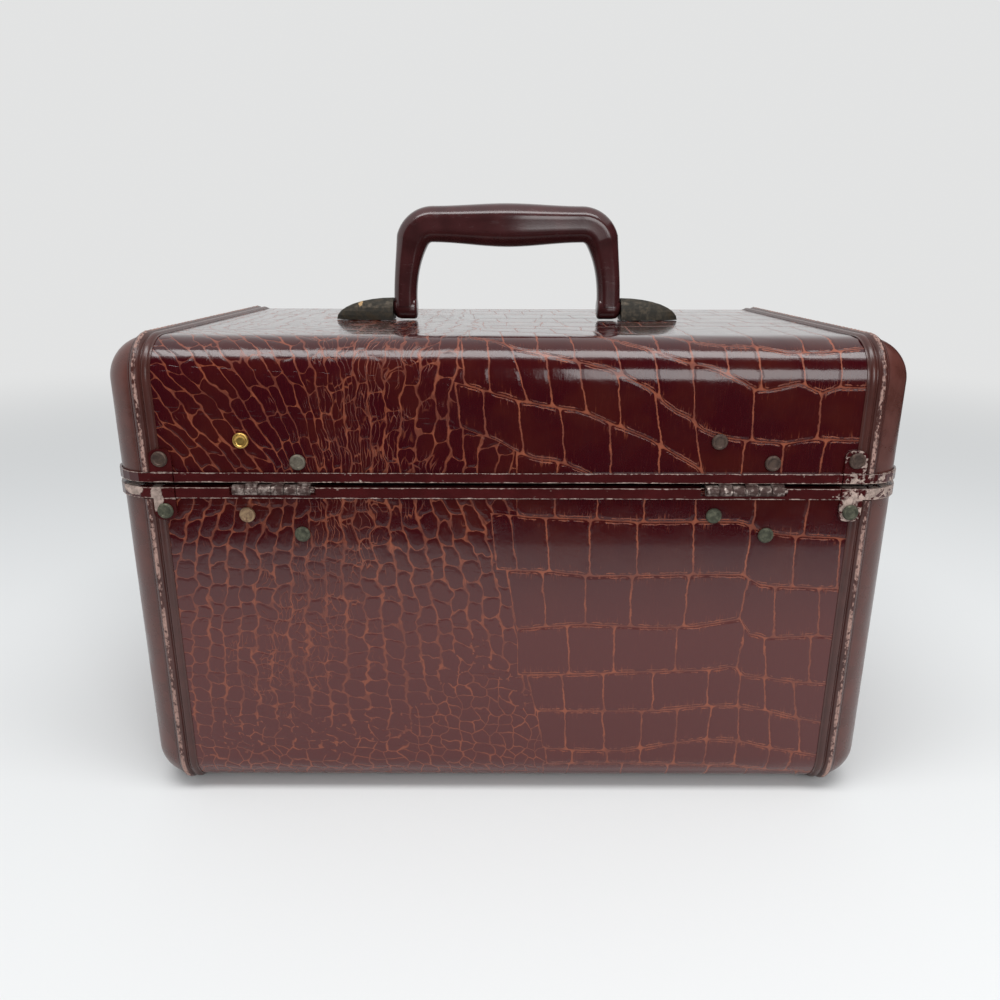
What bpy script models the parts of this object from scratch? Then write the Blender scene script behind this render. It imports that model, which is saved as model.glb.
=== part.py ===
"""Cosmetic train case: a hard vanity case with a hinged lid, top handle and two front latches.

Metres, +Z up. The case stands on its two bindings at z = 0, with its latches facing -Y, its
hinges at +Y and the middle of its overall box at x = 0, y = 0. Left is -X and right is +X, as
seen from the front. Lengths are written in millimetres times MM.
"""
import math

import bmesh
import bpy
from mathutils import Matrix, Vector

MM = 0.001

# Clearances and counts shared by all pieces
GAP = 0.3 * MM              # between two pieces that lie against each other
OVERRUN = 5.0 * MM          # how far a cutter runs past what it cuts
BITE = 0.2 * MM             # how far two joined shapes run into each other
WELD = 0.01 * MM            # points closer than this are one point
EDGE_SEGMENTS = 6
HIDDEN_SEGMENTS = 3        # for rounded edges that the lining hides or softens
ROUND_SIDES = 20
SMALL_SIDES = 12
SMOOTH_ANGLE = math.radians(40)

# Case body
WIDTH = 328.6 * MM
DEPTH = 192.7 * MM
HEIGHT = 206.2 * MM
EDGE_RADIUS = 17.5 * MM
WALL = 4.0 * MM
PARTING_DROP = 59.0 * MM    # parting line's middle below the top panel
PARTING_GAP = 2.2 * MM

# Stitched bindings over the seams between wrap and end covers
BINDING_INSET = 22.3 * MM   # from the end face to the binding's inner edge
BINDING_WIDTH = 9.0 * MM
BINDING_THICKNESS = 1.2 * MM

# Painted metal rims at the parting line
RIM_THICKNESS = 0.8 * MM
RIM_WEB = 1.0 * MM
BASE_RIM_HEIGHT = 4.65 * MM
LID_RIM_HEIGHT = 4.1 * MM
TONGUE_RISE = 4.0 * MM
TONGUE_END_INSET = 40.0 * MM
TAB_WIDTH = 9.0 * MM
TAB_INSET = 27.1 * MM       # from the end face to the tab's inner edge
TAB_DROP = 15.0 * MM        # tab's end from the parting line's middle
TAB_RIVET_DROP = 11.0 * MM
TAB_CORNER = 3.0 * MM

# Fabric lining on its padded board
LINING_THICKNESS = 3.2 * MM
LINING_EDGE_RADIUS_LEAST = 2.0 * MM
POCKET_CLEARANCE = 1.0 * MM
POCKET_DEPTH = 2.6 * MM

# Hinges
HINGE_INSET = 67.3 * MM     # from the end face to the hinge's middle
HINGE_LENGTH = 32.0 * MM
KNUCKLES = 6
BARREL_RADIUS = 2.0 * MM
AXIS_DROP = 1.9 * MM        # hinge axis below the parting line's middle
LEAF = 1.0 * MM
HINGE_PIN_RADIUS = 0.9 * MM
PIN_CLEARANCE = 0.3 * MM
PIN_TIP = 1.4 * MM
LEAF_MARGIN = 4.6 * MM      # leaf past its last rivet's middle
# Rivets of a hinge: along X from the hinge's middle, and from the parting line's middle
LID_RIVETS = ((11.4 * MM, 18.5 * MM), (-11.0 * MM, 9.5 * MM))
BASE_RIVETS = ((11.4 * MM, -13.0 * MM), (-11.0 * MM, -21.5 * MM))

# Rivets
RIVET_HEAD_RADIUS = 3.3 * MM
RIVET_HEAD_HEIGHT = 1.1 * MM
RIVET_SHANK_RADIUS = 1.5 * MM
RIVET_TAIL_RADIUS = 2.4 * MM
RIVET_TAIL_HEIGHT = 0.7 * MM
RIVET_RIM_SHARE = 0.78      # dish of the head as a share of its radius
RIVET_DISH_DEPTH = 0.25 * MM
HOLE_CLEARANCE = 0.3 * MM

# Handle, its posts and fixings
HANDLE_WIDTH = 112.6 * MM   # over the feet
HANDLE_RISE = 55.3 * MM     # top of the grip above the lid
LEG_THICKNESS = 11.5 * MM   # at the foot
LEG_END_THICKNESS = 16.0 * MM
LEG_LEAN = 4.2 * MM         # each leg curves in by this much up to the corner
LEG_SEGMENTS = 6
CORNER_RADIUS = 10.5 * MM   # on the handle's middle line
GRIP_SAG = 0.4 * MM
GRIP_END_HEIGHT = 16.9 * MM
GRIP_MID_HEIGHT = 20.3 * MM
SECTION_DEPTH_SHARE = 1.05  # depth of the handle's section as a share of its thickness
SECTION_POWER = 2.5
PIVOT_RISE = 6.0 * MM
FOOT_RADIUS = 5.6 * MM
FOOT_START = 3.0 * MM       # leg starts this far above the pivot
LUG_RADIUS = 3.0 * MM
LUG_LENGTH = 5.2 * MM
POST_LENGTH = 29.0 * MM
POST_HEIGHT = 10.5 * MM
POST_WIDTH = 14.0 * MM
HANDLE_PIN_RADIUS = 1.5 * MM
HANDLE_PIN_REACH = 14.0 * MM   # pin's outer end from the post's inner face
HANDLE_PIN_START = 5.5 * MM    # pin's inner end inside the foot's outer face
STUD_RADIUS = 1.4 * MM
POST_STUD_RISE = 3.2 * MM
POST_STUD_PLACES = (8.5 * MM, 20.0 * MM)   # from the post's inner face
BACKING_MARGIN = 4.0 * MM
BACKING_WIDTH = 12.0 * MM

# Latches
LATCH_INSET = 67.3 * MM
LOCK_WIDTH = 34.0 * MM
LOCK_HEIGHT = 26.0 * MM
LOCK_DEPTH = 6.0 * MM
LOCK_CORNER = 2.5 * MM
LOCK_STUD_X = 12.0 * MM
LOCK_STUD_RISE = 5.0 * MM
HASP_WIDTH = 12.0 * MM
HASP_PLATE = 1.5 * MM
HASP_BLOCK = 4.4 * MM
HASP_FRONT_CLEARANCE = 0.75 * MM   # hasp block clear of the rim it passes
HASP_BELOW_BOLT = 6.8 * MM
HASP_ABOVE_BOLT = 5.0 * MM
HASP_LIP = 2.0 * MM
HASP_SHOULDER = 1.0 * MM
NOTCH_CLEARANCE = 0.5 * MM
BOLT_DROP = 11.0 * MM       # bolt below the lock's top
BOLT_RADIUS = 1.1 * MM
BOLT_LENGTH = 9.0 * MM
SLIDE_TRAVEL = 5.0 * MM
SHANK_WIDTH = 2.0 * MM
SHANK_FROM_TIP = 5.5 * MM
KNOB_WIDTH = 6.4 * MM
KNOB_HEIGHT = 8.0 * MM
KNOB_DEPTH = 2.0 * MM
KNOB_BEVEL = 0.6 * MM
BARREL_X = 11.5 * MM
KEY_RADIUS = 3.2 * MM
KEY_DEPTH = 4.7 * MM
KEY_PROUD = 0.6 * MM
KEY_SLOT_WIDTH = 1.0 * MM
KEY_SLOT_LENGTH = 3.8 * MM
KEY_SLOT_DEPTH = 1.6 * MM
BRACKET_PLATE = 1.2 * MM
BRACKET_HEIGHT = 15.0 * MM
BRACKET_LUG = 3.0 * MM
BRACKET_MARGIN = 1.5 * MM
BRACKET_CORNER = 2.0 * MM
HASP_PIVOT_RISE = 5.0 * MM  # hasp pin above the lid rim
HASP_KNUCKLE_RADIUS = 1.8 * MM
HASP_PIN_RADIUS = 0.8 * MM
BRACKET_STUD_X = 6.0 * MM
BRACKET_STUD_RISE = 11.0 * MM
STUD_TAIL = 0.8 * MM        # studs run this far past the wall

# Mirror in the lid
MIRROR_LENGTH = 200.0 * MM
MIRROR_ROOM = 10.85 * MM    # from the mirror's frame to the rounding of the lid's long edges
MIRROR_THICKNESS = 2.3 * MM
MIRROR_BORDER = 8.0 * MM
MIRROR_LIP = 2.2 * MM
MIRROR_LIP_THICKNESS = 1.3 * MM
MIRROR_CORNER = 8.0 * MM

# Lift-out tray and the ledges that carry it
TRAY_HEIGHT = 38.0 * MM
TRAY_WALL = 2.5 * MM
TRAY_CLEARANCE = 1.4 * MM
TRAY_CORNER = 11.0 * MM
TRAY_TOP_DROP = 8.0 * MM    # tray's top below the parting line's middle
DIVIDER_SHARES = (-0.2, 0.2)   # dividers, as shares of the tray's length from its middle
LEDGE_WIDTH = 8.0 * MM
LEDGE_HEIGHT = 6.0 * MM
LEDGE_END_INSET = 22.0 * MM
FINGER_CUT_WIDTH = 42.0 * MM
FINGER_CUT_DEPTH = 13.0 * MM

# Places worked out from the sizes above
BINDING_PROUD = GAP + BINDING_THICKNESS
RIM_PROUD = GAP + RIM_THICKNESS
TAB_PROUD = RIM_PROUD + BITE
HASP_INNER = RIM_PROUD + HASP_FRONT_CLEARANCE
BOLT_OUT = HASP_INNER + HASP_BLOCK / 2
FRONT_REACH = GAP + LOCK_DEPTH + GAP + KNOB_DEPTH
BACK_REACH = GAP + 2 * BARREL_RADIUS
CASE_Y = (FRONT_REACH - BACK_REACH) / 2
FRONT_FACE = CASE_Y - DEPTH / 2
BACK_FACE = CASE_Y + DEPTH / 2
BOTTOM_FACE = BINDING_PROUD
TOP_FACE = BOTTOM_FACE + HEIGHT
PARTING_Z = TOP_FACE - PARTING_DROP
BASE_RIM_TOP = PARTING_Z - PARTING_GAP / 2
BASE_RIM_LOW = BASE_RIM_TOP - BASE_RIM_HEIGHT
LID_RIM_LOW = PARTING_Z + PARTING_GAP / 2
LID_RIM_TOP = LID_RIM_LOW + LID_RIM_HEIGHT
BASE_WALL_TOP = BASE_RIM_TOP - RIM_WEB - GAP
LID_WALL_LOW = LID_RIM_LOW + RIM_WEB + GAP
BINDING_X = WIDTH / 2 - BINDING_INSET
SEAM_X = BINDING_X + BINDING_WIDTH / 2
TAB_X = WIDTH / 2 - TAB_INSET
TAB_OUTER_X = TAB_X + TAB_WIDTH
TAB_RIVET_X = TAB_X + TAB_WIDTH / 2
HINGE_X = WIDTH / 2 - HINGE_INSET
HINGE_Y = BACK_FACE + GAP + BARREL_RADIUS
HINGE_Z = PARTING_Z - AXIS_DROP
LINING_OUTER = WALL + GAP
LINING_INNER = LINING_OUTER + LINING_THICKNESS
LATCH_X = WIDTH / 2 - LATCH_INSET
LOCK_TOP = BASE_RIM_LOW - GAP
LOCK_LOW = LOCK_TOP - LOCK_HEIGHT
BOLT_Z = LOCK_TOP - BOLT_DROP
HASP_PIVOT_Z = LID_RIM_TOP + HASP_PIVOT_RISE
PIVOT_Z = TOP_FACE + PIVOT_RISE
POST_X = HANDLE_WIDTH / 2 + GAP
MIRROR_WIDTH = DEPTH - 2 * (EDGE_RADIUS + MIRROR_ROOM + MIRROR_BORDER)
SIDES = (("left", -1), ("right", 1))

# Colours as linear RGB
WRAP_COLOUR = (0.045, 0.010, 0.012)
COVER_COLOUR = (0.060, 0.014, 0.016)
BINDING_COLOUR = (0.085, 0.026, 0.026)
RIM_COLOUR = (0.055, 0.009, 0.011)
HANDLE_COLOUR = (0.042, 0.008, 0.012)
BRASS_COLOUR = (0.10, 0.085, 0.045)
STEEL_COLOUR = (0.36, 0.31, 0.29)
LINING_COLOUR = (0.40, 0.26, 0.20)
GLASS_COLOUR = (0.80, 0.82, 0.84)
WOOD_COLOUR = (0.30, 0.18, 0.09)


def start_scene():
    """Clear the scene and make the collections for the parts and for the cutters."""
    for old in list(bpy.data.objects):
        bpy.data.objects.remove(old, do_unlink=True)
    collections = []
    for name in ("cosmetic_train_case", "cutters"):
        collection = bpy.data.collections.new(name)
        bpy.context.scene.collection.children.link(collection)
        collections.append(collection)
    return collections


PARTS, CUTTERS = start_scene()


def finish(name, colour, roughness, metallic):
    """Return a plain Principled material."""
    material = bpy.data.materials.new(name)
    material.use_nodes = True
    shader = material.node_tree.nodes["Principled BSDF"]
    shader.inputs["Base Color"].default_value = (*colour, 1.0)
    shader.inputs["Roughness"].default_value = roughness
    shader.inputs["Metallic"].default_value = metallic
    return material


WRAP = finish("embossed_wrap", WRAP_COLOUR, 0.22, 0.0)
COVER = finish("smooth_cover", COVER_COLOUR, 0.30, 0.0)
BINDING = finish("stitched_binding", BINDING_COLOUR, 0.40, 0.0)
RIM = finish("painted_rim", RIM_COLOUR, 0.30, 0.0)
GRIP = finish("moulded_grip", HANDLE_COLOUR, 0.20, 0.0)
BRASS = finish("aged_brass", BRASS_COLOUR, 0.45, 0.9)
STEEL = finish("worn_steel", STEEL_COLOUR, 0.45, 0.9)
FABRIC = finish("lining_fabric", LINING_COLOUR, 0.85, 0.0)
MIRROR = finish("mirror_glass", GLASS_COLOUR, 0.03, 1.0)
WOOD = finish("ledge_wood", WOOD_COLOUR, 0.60, 0.0)


def as_piece(obj, name, material):
    """Name an object, give it its finish and put it among the parts."""
    obj.name = name
    obj.data.name = name
    obj.data.materials.clear()
    obj.data.materials.append(material)
    for collection in list(obj.users_collection):
        collection.objects.unlink(obj)
    PARTS.objects.link(obj)
    return obj


def as_cutter(obj, name):
    """Name an object, hide it from renders and put it among the cutters."""
    obj.name = name
    obj.data.name = name
    obj.hide_render = True
    obj.display_type = "WIRE"
    for collection in list(obj.users_collection):
        collection.objects.unlink(obj)
    CUTTERS.objects.link(obj)
    return obj


def mesh_object(mesh, name="shape"):
    """Link a mesh as a new object among the cutters until it is made a piece."""
    obj = bpy.data.objects.new(name, mesh)
    CUTTERS.objects.link(obj)
    return obj


def box(low, high):
    """Return a block between two corners."""
    shape = bmesh.new()
    bmesh.ops.create_cube(shape, size=1.0)
    size = [b - a for a, b in zip(low, high)]
    middle = [(a + b) / 2 for a, b in zip(low, high)]
    bmesh.ops.scale(shape, vec=size, verts=shape.verts)
    bmesh.ops.translate(shape, vec=middle, verts=shape.verts)
    mesh = bpy.data.meshes.new("box")
    shape.to_mesh(mesh)
    shape.free()
    return mesh_object(mesh)


def block(low, high, corner, axis, segments=3):
    """Return a block whose four edges along one axis (0, 1 or 2) are rounded."""
    obj = box(low, high)
    shape = bmesh.new()
    shape.from_mesh(obj.data)
    along = Vector([float(index == axis) for index in range(3)])
    edges = [edge for edge in shape.edges
             if abs((edge.verts[0].co - edge.verts[1].co).normalized().dot(along)) > 0.9]
    bmesh.ops.bevel(shape, geom=edges, offset=corner, segments=segments, profile=0.5,
                    affect="EDGES", clamp_overlap=True)
    shape.to_mesh(obj.data)
    shape.free()
    return obj


def rod(radius, start, end, sides=SMALL_SIDES):
    """Return a round rod between two points."""
    start, end = Vector(start), Vector(end)
    span = end - start
    shape = bmesh.new()
    bmesh.ops.create_cone(shape, cap_ends=True, segments=sides, radius1=radius, radius2=radius,
                          depth=span.length)
    turn = span.to_track_quat("Z", "Y").to_matrix().to_4x4()
    bmesh.ops.transform(shape, matrix=Matrix.Translation((start + end) / 2) @ turn, verts=shape.verts)
    mesh = bpy.data.meshes.new("rod")
    shape.to_mesh(mesh)
    shape.free()
    return mesh_object(mesh)


def body_block(inset, segments=EDGE_SEGMENTS):
    """Return the case's outer form moved inwards by inset (outwards if it is negative)."""
    half = (WIDTH / 2 - inset, DEPTH / 2 - inset)
    obj = box((-half[0], CASE_Y - half[1], BOTTOM_FACE + inset),
              (half[0], CASE_Y + half[1], TOP_FACE - inset))
    rounding = obj.modifiers.new("rounding", "BEVEL")
    rounding.width = max(EDGE_RADIUS - inset, LINING_EDGE_RADIUS_LEAST)
    rounding.segments = segments
    rounding.limit_method = "NONE"
    return obj


def boolean(obj, operation, other, name):
    """Add one Boolean modifier."""
    modifier = obj.modifiers.new(name, "BOOLEAN")
    modifier.operation = operation
    modifier.solver = "EXACT"
    modifier.object = other
    return obj


def cut(obj, other, name="cut"):
    """Take another shape away from an object."""
    return boolean(obj, "DIFFERENCE", as_cutter(other, name), name)


def keep(obj, other, name="keep"):
    """Keep only what lies inside another shape."""
    return boolean(obj, "INTERSECT", as_cutter(other, name), name)


def join(obj, other, name="join"):
    """Fuse another shape onto an object."""
    return boolean(obj, "UNION", as_cutter(other, name), name)


def smooth(obj):
    """Shade round faces smooth and keep sharp edges sharp."""
    obj.data.shade_smooth()
    obj.data.set_sharp_from_angle(angle=SMOOTH_ANGLE)
    return obj


def settle(obj):
    """Turn an object's modifiers, or a curve, into one welded mesh."""
    bpy.context.view_layer.update()
    evaluated = obj.evaluated_get(bpy.context.evaluated_depsgraph_get())
    mesh = bpy.data.meshes.new_from_object(evaluated)
    shape = bmesh.new()
    shape.from_mesh(mesh)
    bmesh.ops.remove_doubles(shape, verts=shape.verts, dist=WELD)
    bmesh.ops.recalc_face_normals(shape, faces=shape.faces)
    shape.to_mesh(mesh)
    shape.free()
    mesh.transform(obj.matrix_world)
    bpy.data.objects.remove(obj, do_unlink=True)
    return mesh_object(mesh)



def sweep(path, section, scales=None, turn=Matrix.Identity(4)):
    """Carry a closed section along a flat path.

    The section's first number lies to the path's left, and its second number above the path's
    plane. scales holds the section's scale at each point, and turn places the result.
    """
    outline = bpy.data.curves.new("section", "CURVE")
    outline.dimensions = "2D"
    ring = outline.splines.new("POLY")
    ring.points.add(len(section) - 1)
    for point, (across, up) in zip(ring.points, reversed(section)):
        point.co = (-across, up, 0.0, 1.0)
    ring.use_cyclic_u = True
    outline_object = bpy.data.objects.new("section", outline)
    CUTTERS.objects.link(outline_object)
    route = bpy.data.curves.new("route", "CURVE")
    route.dimensions = "2D"
    route.fill_mode = "NONE"
    line = route.splines.new("POLY")
    line.points.add(len(path) - 1)
    for index, (point, (x, y)) in enumerate(zip(line.points, path)):
        point.co = (x, y, 0.0, 1.0)
        point.radius = scales[index] if scales else 1.0
    route.bevel_mode = "OBJECT"
    route.bevel_object = outline_object
    route.use_fill_caps = True
    route_object = bpy.data.objects.new("route", route)
    CUTTERS.objects.link(route_object)
    route_object.matrix_world = turn
    swept = settle(route_object)
    bpy.data.objects.remove(outline_object, do_unlink=True)
    return swept


def arc(middle, radius, start, end, segments):
    """Return points on an arc, with its angles in degrees."""
    return [(middle[0] + radius * math.cos(math.radians(start + (end - start) * step / segments)),
             middle[1] + radius * math.sin(math.radians(start + (end - start) * step / segments)))
            for step in range(segments + 1)]


def plan_route(back_x, side_end_y):
    """Return the case's plan outline from one end of its back or sides round the front.

    back_x is where the route starts and ends on the back. Where it is None, the route runs
    only along the front and up the sides to side_end_y.
    """
    x, y = WIDTH / 2 - EDGE_RADIUS, DEPTH / 2 - EDGE_RADIUS
    front_left = arc((-x, CASE_Y - y), EDGE_RADIUS, 180, 270, EDGE_SEGMENTS)
    front_right = arc((x, CASE_Y - y), EDGE_RADIUS, 270, 360, EDGE_SEGMENTS)
    if back_x is None:
        return [(-WIDTH / 2, side_end_y)] + front_left + front_right + [(WIDTH / 2, side_end_y)]
    back_left = arc((-x, CASE_Y + y), EDGE_RADIUS, 90, 180, EDGE_SEGMENTS)
    back_right = arc((x, CASE_Y + y), EDGE_RADIUS, 0, 90, EDGE_SEGMENTS)
    return ([(-back_x, BACK_FACE)] + back_left + front_left + front_right + back_right
            + [(back_x, BACK_FACE)])


def rim_section(edge, wall_side, height):
    """Return an L section: a web across the wall's edge and a leg outside the wall.

    The route runs anticlockwise, so left of it is inwards. wall_side is -1 where the wall is
    below the edge and 1 where it is above.
    """
    web = edge + wall_side * RIM_WEB
    foot = edge + wall_side * height
    return [(WALL, edge), (-RIM_PROUD, edge), (-RIM_PROUD, foot), (-GAP, foot), (-GAP, web),
            (WALL, web)]


def shell_piece(name, material, x_from, x_to, z_from, z_to):
    """Return a stretch of the hollow case between two x and two z places."""
    piece = as_piece(body_block(0.0), name, material)
    cut(piece, body_block(WALL), name + "_hollow")
    reach = DEPTH / 2 + OVERRUN
    keep(piece, box((x_from, CASE_Y - reach, z_from), (x_to, CASE_Y + reach, z_to)), name + "_stretch")
    return piece


def binding_piece(name, side, z_from, z_to, tab_end):
    """Return one stitched binding strip, with room at its top or bottom for the rim's tab."""
    piece = as_piece(body_block(-BINDING_PROUD), name, BINDING)
    cut(piece, body_block(-GAP), name + "_hollow")
    reach = DEPTH / 2 + OVERRUN
    edges = sorted((side * BINDING_X, side * (BINDING_X + BINDING_WIDTH)))
    keep(piece, box((edges[0], CASE_Y - reach, z_from), (edges[1], CASE_Y + reach, z_to)),
         name + "_stretch")
    tab_edges = sorted((side * (BINDING_X - OVERRUN), side * (TAB_OUTER_X + GAP)))
    tab_z = sorted((tab_end, PARTING_Z))
    cut(piece, box((tab_edges[0], BACK_FACE - OVERRUN, tab_z[0]),
                   (tab_edges[1], BACK_FACE + OVERRUN, tab_z[1])), name + "_tab_room")
    return smooth(piece)


def rim_tab(side, direction):
    """Return a rim's end tab on the back, running up (1) or down (-1) from the parting line."""
    edges = sorted((side * TAB_X, side * TAB_OUTER_X))
    start = PARTING_Z + direction * (PARTING_GAP / 2 + RIM_WEB + BITE)
    ends = sorted((start, PARTING_Z + direction * TAB_DROP))
    return block((edges[0], BACK_FACE + GAP + BITE / 2, ends[0]),
                 (edges[1], BACK_FACE + TAB_PROUD, ends[1]), TAB_CORNER, 1)


def back_hole(radius, x, z, inwards=WALL + OVERRUN, outwards=OVERRUN):
    """Return a round cutter through the back wall."""
    return rod(radius, (x, BACK_FACE - inwards, z), (x, BACK_FACE + outwards, z))


def rivet_mesh(head_out, tail_in):
    """Return a rivet turned about +Z, its head's seat at z = head_out and its tail inside."""
    top = head_out + RIVET_HEAD_HEIGHT
    tail = -tail_in
    dish = RIVET_HEAD_RADIUS * RIVET_RIM_SHARE
    profile = [(0.0, top - RIVET_DISH_DEPTH), (dish, top - RIVET_DISH_DEPTH), (dish, top),
               (RIVET_HEAD_RADIUS - RIVET_DISH_DEPTH, top),
               (RIVET_HEAD_RADIUS, head_out + RIVET_DISH_DEPTH), (RIVET_HEAD_RADIUS, head_out),
               (RIVET_SHANK_RADIUS, head_out), (RIVET_SHANK_RADIUS, tail),
               (RIVET_TAIL_RADIUS, tail), (RIVET_TAIL_RADIUS, tail - RIVET_TAIL_HEIGHT),
               (0.0, tail - RIVET_TAIL_HEIGHT)]
    mesh = bpy.data.meshes.new("rivet")
    shape = bmesh.new()
    points = [shape.verts.new((radius, 0.0, height)) for radius, height in profile]
    for first, second in zip(points, points[1:]):
        shape.edges.new((first, second))
    shape.to_mesh(mesh)
    shape.free()
    return mesh


def rivet(name, x, z, head_out, tail_in, material, parent):
    """Place one rivet through the back wall."""
    piece = as_piece(mesh_object(rivet_mesh(head_out, tail_in)), name, material)
    turning = piece.modifiers.new("turning", "SCREW")
    turning.steps = turning.render_steps = SMALL_SIDES
    turning.use_merge_vertices = True
    turning.merge_threshold = WELD
    piece.rotation_euler = (math.radians(-90), 0.0, 0.0)
    piece.location = (x, BACK_FACE, z)
    return hold(piece, parent)


def pivot(name, place):
    """Return an empty on a joint's axis."""
    empty = bpy.data.objects.new(name, None)
    empty.location = place
    PARTS.objects.link(empty)
    return empty


def hold(piece, parent):
    """Parent a piece to an empty and leave it where it is."""
    if parent is not None:
        piece.parent = parent
        piece.matrix_parent_inverse = Matrix.Translation(parent.location).inverted()
    return piece


def make_base():
    """Make the base: wrap, end covers, bindings, rims, lining and tray ledges."""
    wrap = shell_piece("base_wrap", WRAP, -SEAM_X + GAP / 2, SEAM_X - GAP / 2,
                       BOTTOM_FACE - OVERRUN, BASE_WALL_TOP)
    for index, hole in enumerate(base_wall_holes()):
        cut(wrap, hole, f"base_wall_hole_{index}")
    smooth(wrap)
    for label, side in SIDES:
        edges = sorted((side * (SEAM_X + GAP / 2), side * (WIDTH / 2 + OVERRUN)))
        smooth(shell_piece(f"base_end_{label}", COVER, edges[0], edges[1],
                           BOTTOM_FACE - OVERRUN, BASE_WALL_TOP))
        binding_piece(f"base_binding_{label}", side, BOTTOM_FACE - OVERRUN, BASE_RIM_LOW - GAP,
                      PARTING_Z - TAB_DROP - GAP)
        rivet(f"base_tab_rivet_{label}", side * TAB_RIVET_X, PARTING_Z - TAB_RIVET_DROP,
              TAB_PROUD + GAP, WALL + GAP, BRASS, None)
        tray_ledge(f"tray_ledge_{label}", side)
    make_rim("base_rim", BASE_RIM_TOP, -1, BASE_RIM_HEIGHT, True, None)
    make_back_rim("base_rim_back", BASE_RIM_TOP, -1, BASE_RIM_HEIGHT, None)
    lining = as_piece(body_block(LINING_OUTER, EDGE_SEGMENTS), "base_lining", FABRIC)
    cut(lining, body_block(LINING_INNER, HIDDEN_SEGMENTS), "base_lining_hollow")
    cut(lining, box((-WIDTH, -DEPTH, BASE_RIM_LOW - GAP), (WIDTH, DEPTH, TOP_FACE + OVERRUN)),
        "base_lining_top")
    for index, pocket in enumerate(base_pockets()):
        cut(lining, pocket, f"base_pocket_{index}")
    smooth(lining)


def base_wall_holes():
    """Return the cutters for all holes through the base's front and back walls."""
    holes = []
    for _, side in SIDES:
        radius = RIVET_SHANK_RADIUS + HOLE_CLEARANCE
        for x, z in BASE_RIVETS:
            holes.append(back_hole(radius, side * HINGE_X + x, PARTING_Z + z))
        holes.append(back_hole(radius, side * TAB_RIVET_X, PARTING_Z - TAB_RIVET_DROP))
        for stud in (-1, 1):
            holes.append(front_hole(STUD_RADIUS + HOLE_CLEARANCE, side * LATCH_X + stud * LOCK_STUD_X,
                                    LOCK_LOW + LOCK_STUD_RISE))
    return holes


def front_hole(radius, x, z, inwards=WALL + OVERRUN, outwards=OVERRUN):
    """Return a round cutter through the front wall."""
    return rod(radius, (x, FRONT_FACE - outwards, z), (x, FRONT_FACE + inwards, z))


def leaf_pocket(side, ends):
    """Return the room in the lining behind one hinge leaf."""
    reach = HINGE_LENGTH / 2 + POCKET_CLEARANCE
    low, high = sorted(ends)
    return box((side * HINGE_X - reach, BACK_FACE - LINING_OUTER - POCKET_DEPTH, low),
               (side * HINGE_X + reach, BACK_FACE + OVERRUN, high))


def base_pockets():
    """Return the rooms in the base's lining for hinge leaves, rivet tails and lock studs."""
    pockets = []
    for _, side in SIDES:
        pockets.append(leaf_pocket(side, (leaf_end(-1) - POCKET_CLEARANCE, PARTING_Z)))
        reach = RIVET_TAIL_RADIUS + POCKET_CLEARANCE
        pockets.append(back_hole(reach, side * TAB_RIVET_X, PARTING_Z - TAB_RIVET_DROP,
                                 LINING_OUTER + POCKET_DEPTH))
        for stud in (-1, 1):
            pockets.append(front_hole(STUD_RADIUS + POCKET_CLEARANCE,
                                      side * LATCH_X + stud * LOCK_STUD_X,
                                      LOCK_LOW + LOCK_STUD_RISE, LINING_OUTER + POCKET_DEPTH))
    return pockets


def make_rim(name, edge, wall_side, height, tongue, parent):
    """Make the painted rim round the front and ends, with its tabs on the back."""
    route = plan_route(TAB_X + BITE, 0.0)
    rim = sweep(route, rim_section(edge, wall_side, height))
    piece = as_piece(rim, name, RIM)
    for label, side in SIDES:
        join(piece, rim_tab(side, wall_side), f"{name}_tab_{label}")
        cut(piece, back_hole(RIVET_SHANK_RADIUS + HOLE_CLEARANCE, side * TAB_RIVET_X,
                             PARTING_Z + wall_side * TAB_RIVET_DROP), f"{name}_tab_hole_{label}")
    if tongue:
        inner = WALL + GAP
        root_low, root_high = edge - RIM_WEB + BITE, edge - BITE
        section = [(WALL - BITE, root_low), (inner, root_low), (inner, edge - height),
                   (inner + RIM_THICKNESS, edge - height),
                   (inner + RIM_THICKNESS, edge + TONGUE_RISE), (inner, edge + TONGUE_RISE),
                   (inner, root_high), (WALL - BITE, root_high)]
        join(piece, sweep(plan_route(None, BACK_FACE - TONGUE_END_INSET), section), f"{name}_tongue")
    return hold(smooth(piece), parent)


def make_back_rim(name, edge, wall_side, height, parent):
    """Make the straight rim strip along the back, cleared for the hinge barrels."""
    reach = TAB_X - GAP
    strip = as_piece(sweep([(reach, BACK_FACE), (-reach, BACK_FACE)],
                           rim_section(edge, wall_side, height)), name, RIM)
    room = BARREL_RADIUS + GAP
    for label, side in SIDES:
        half = HINGE_LENGTH / 2 + PIN_TIP + GAP
        middle = side * HINGE_X
        cut(strip, box((middle - half, BACK_FACE, HINGE_Z - room),
                       (middle + half, BACK_FACE + OVERRUN, HINGE_Z + room)), f"{name}_room_{label}")
    return hold(strip, parent)


def tray_ledge(name, side):
    """Make the wooden ledge that carries one end of the tray."""
    outer = WIDTH / 2 - LINING_INNER - GAP
    top = PARTING_Z - TRAY_TOP_DROP - TRAY_HEIGHT - GAP
    edges = sorted((side * outer, side * (outer - LEDGE_WIDTH)))
    reach = DEPTH / 2 - LEDGE_END_INSET
    return as_piece(box((edges[0], CASE_Y - reach, top - LEDGE_HEIGHT), (edges[1], CASE_Y + reach, top)),
                    name, WOOD)


def leaf_end(direction):
    """Return the z of a hinge leaf's far edge, up (1) or down (-1)."""
    rivets = LID_RIVETS if direction > 0 else BASE_RIVETS
    return PARTING_Z + direction * (max(abs(z) for _, z in rivets) + LEAF_MARGIN)


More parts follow.
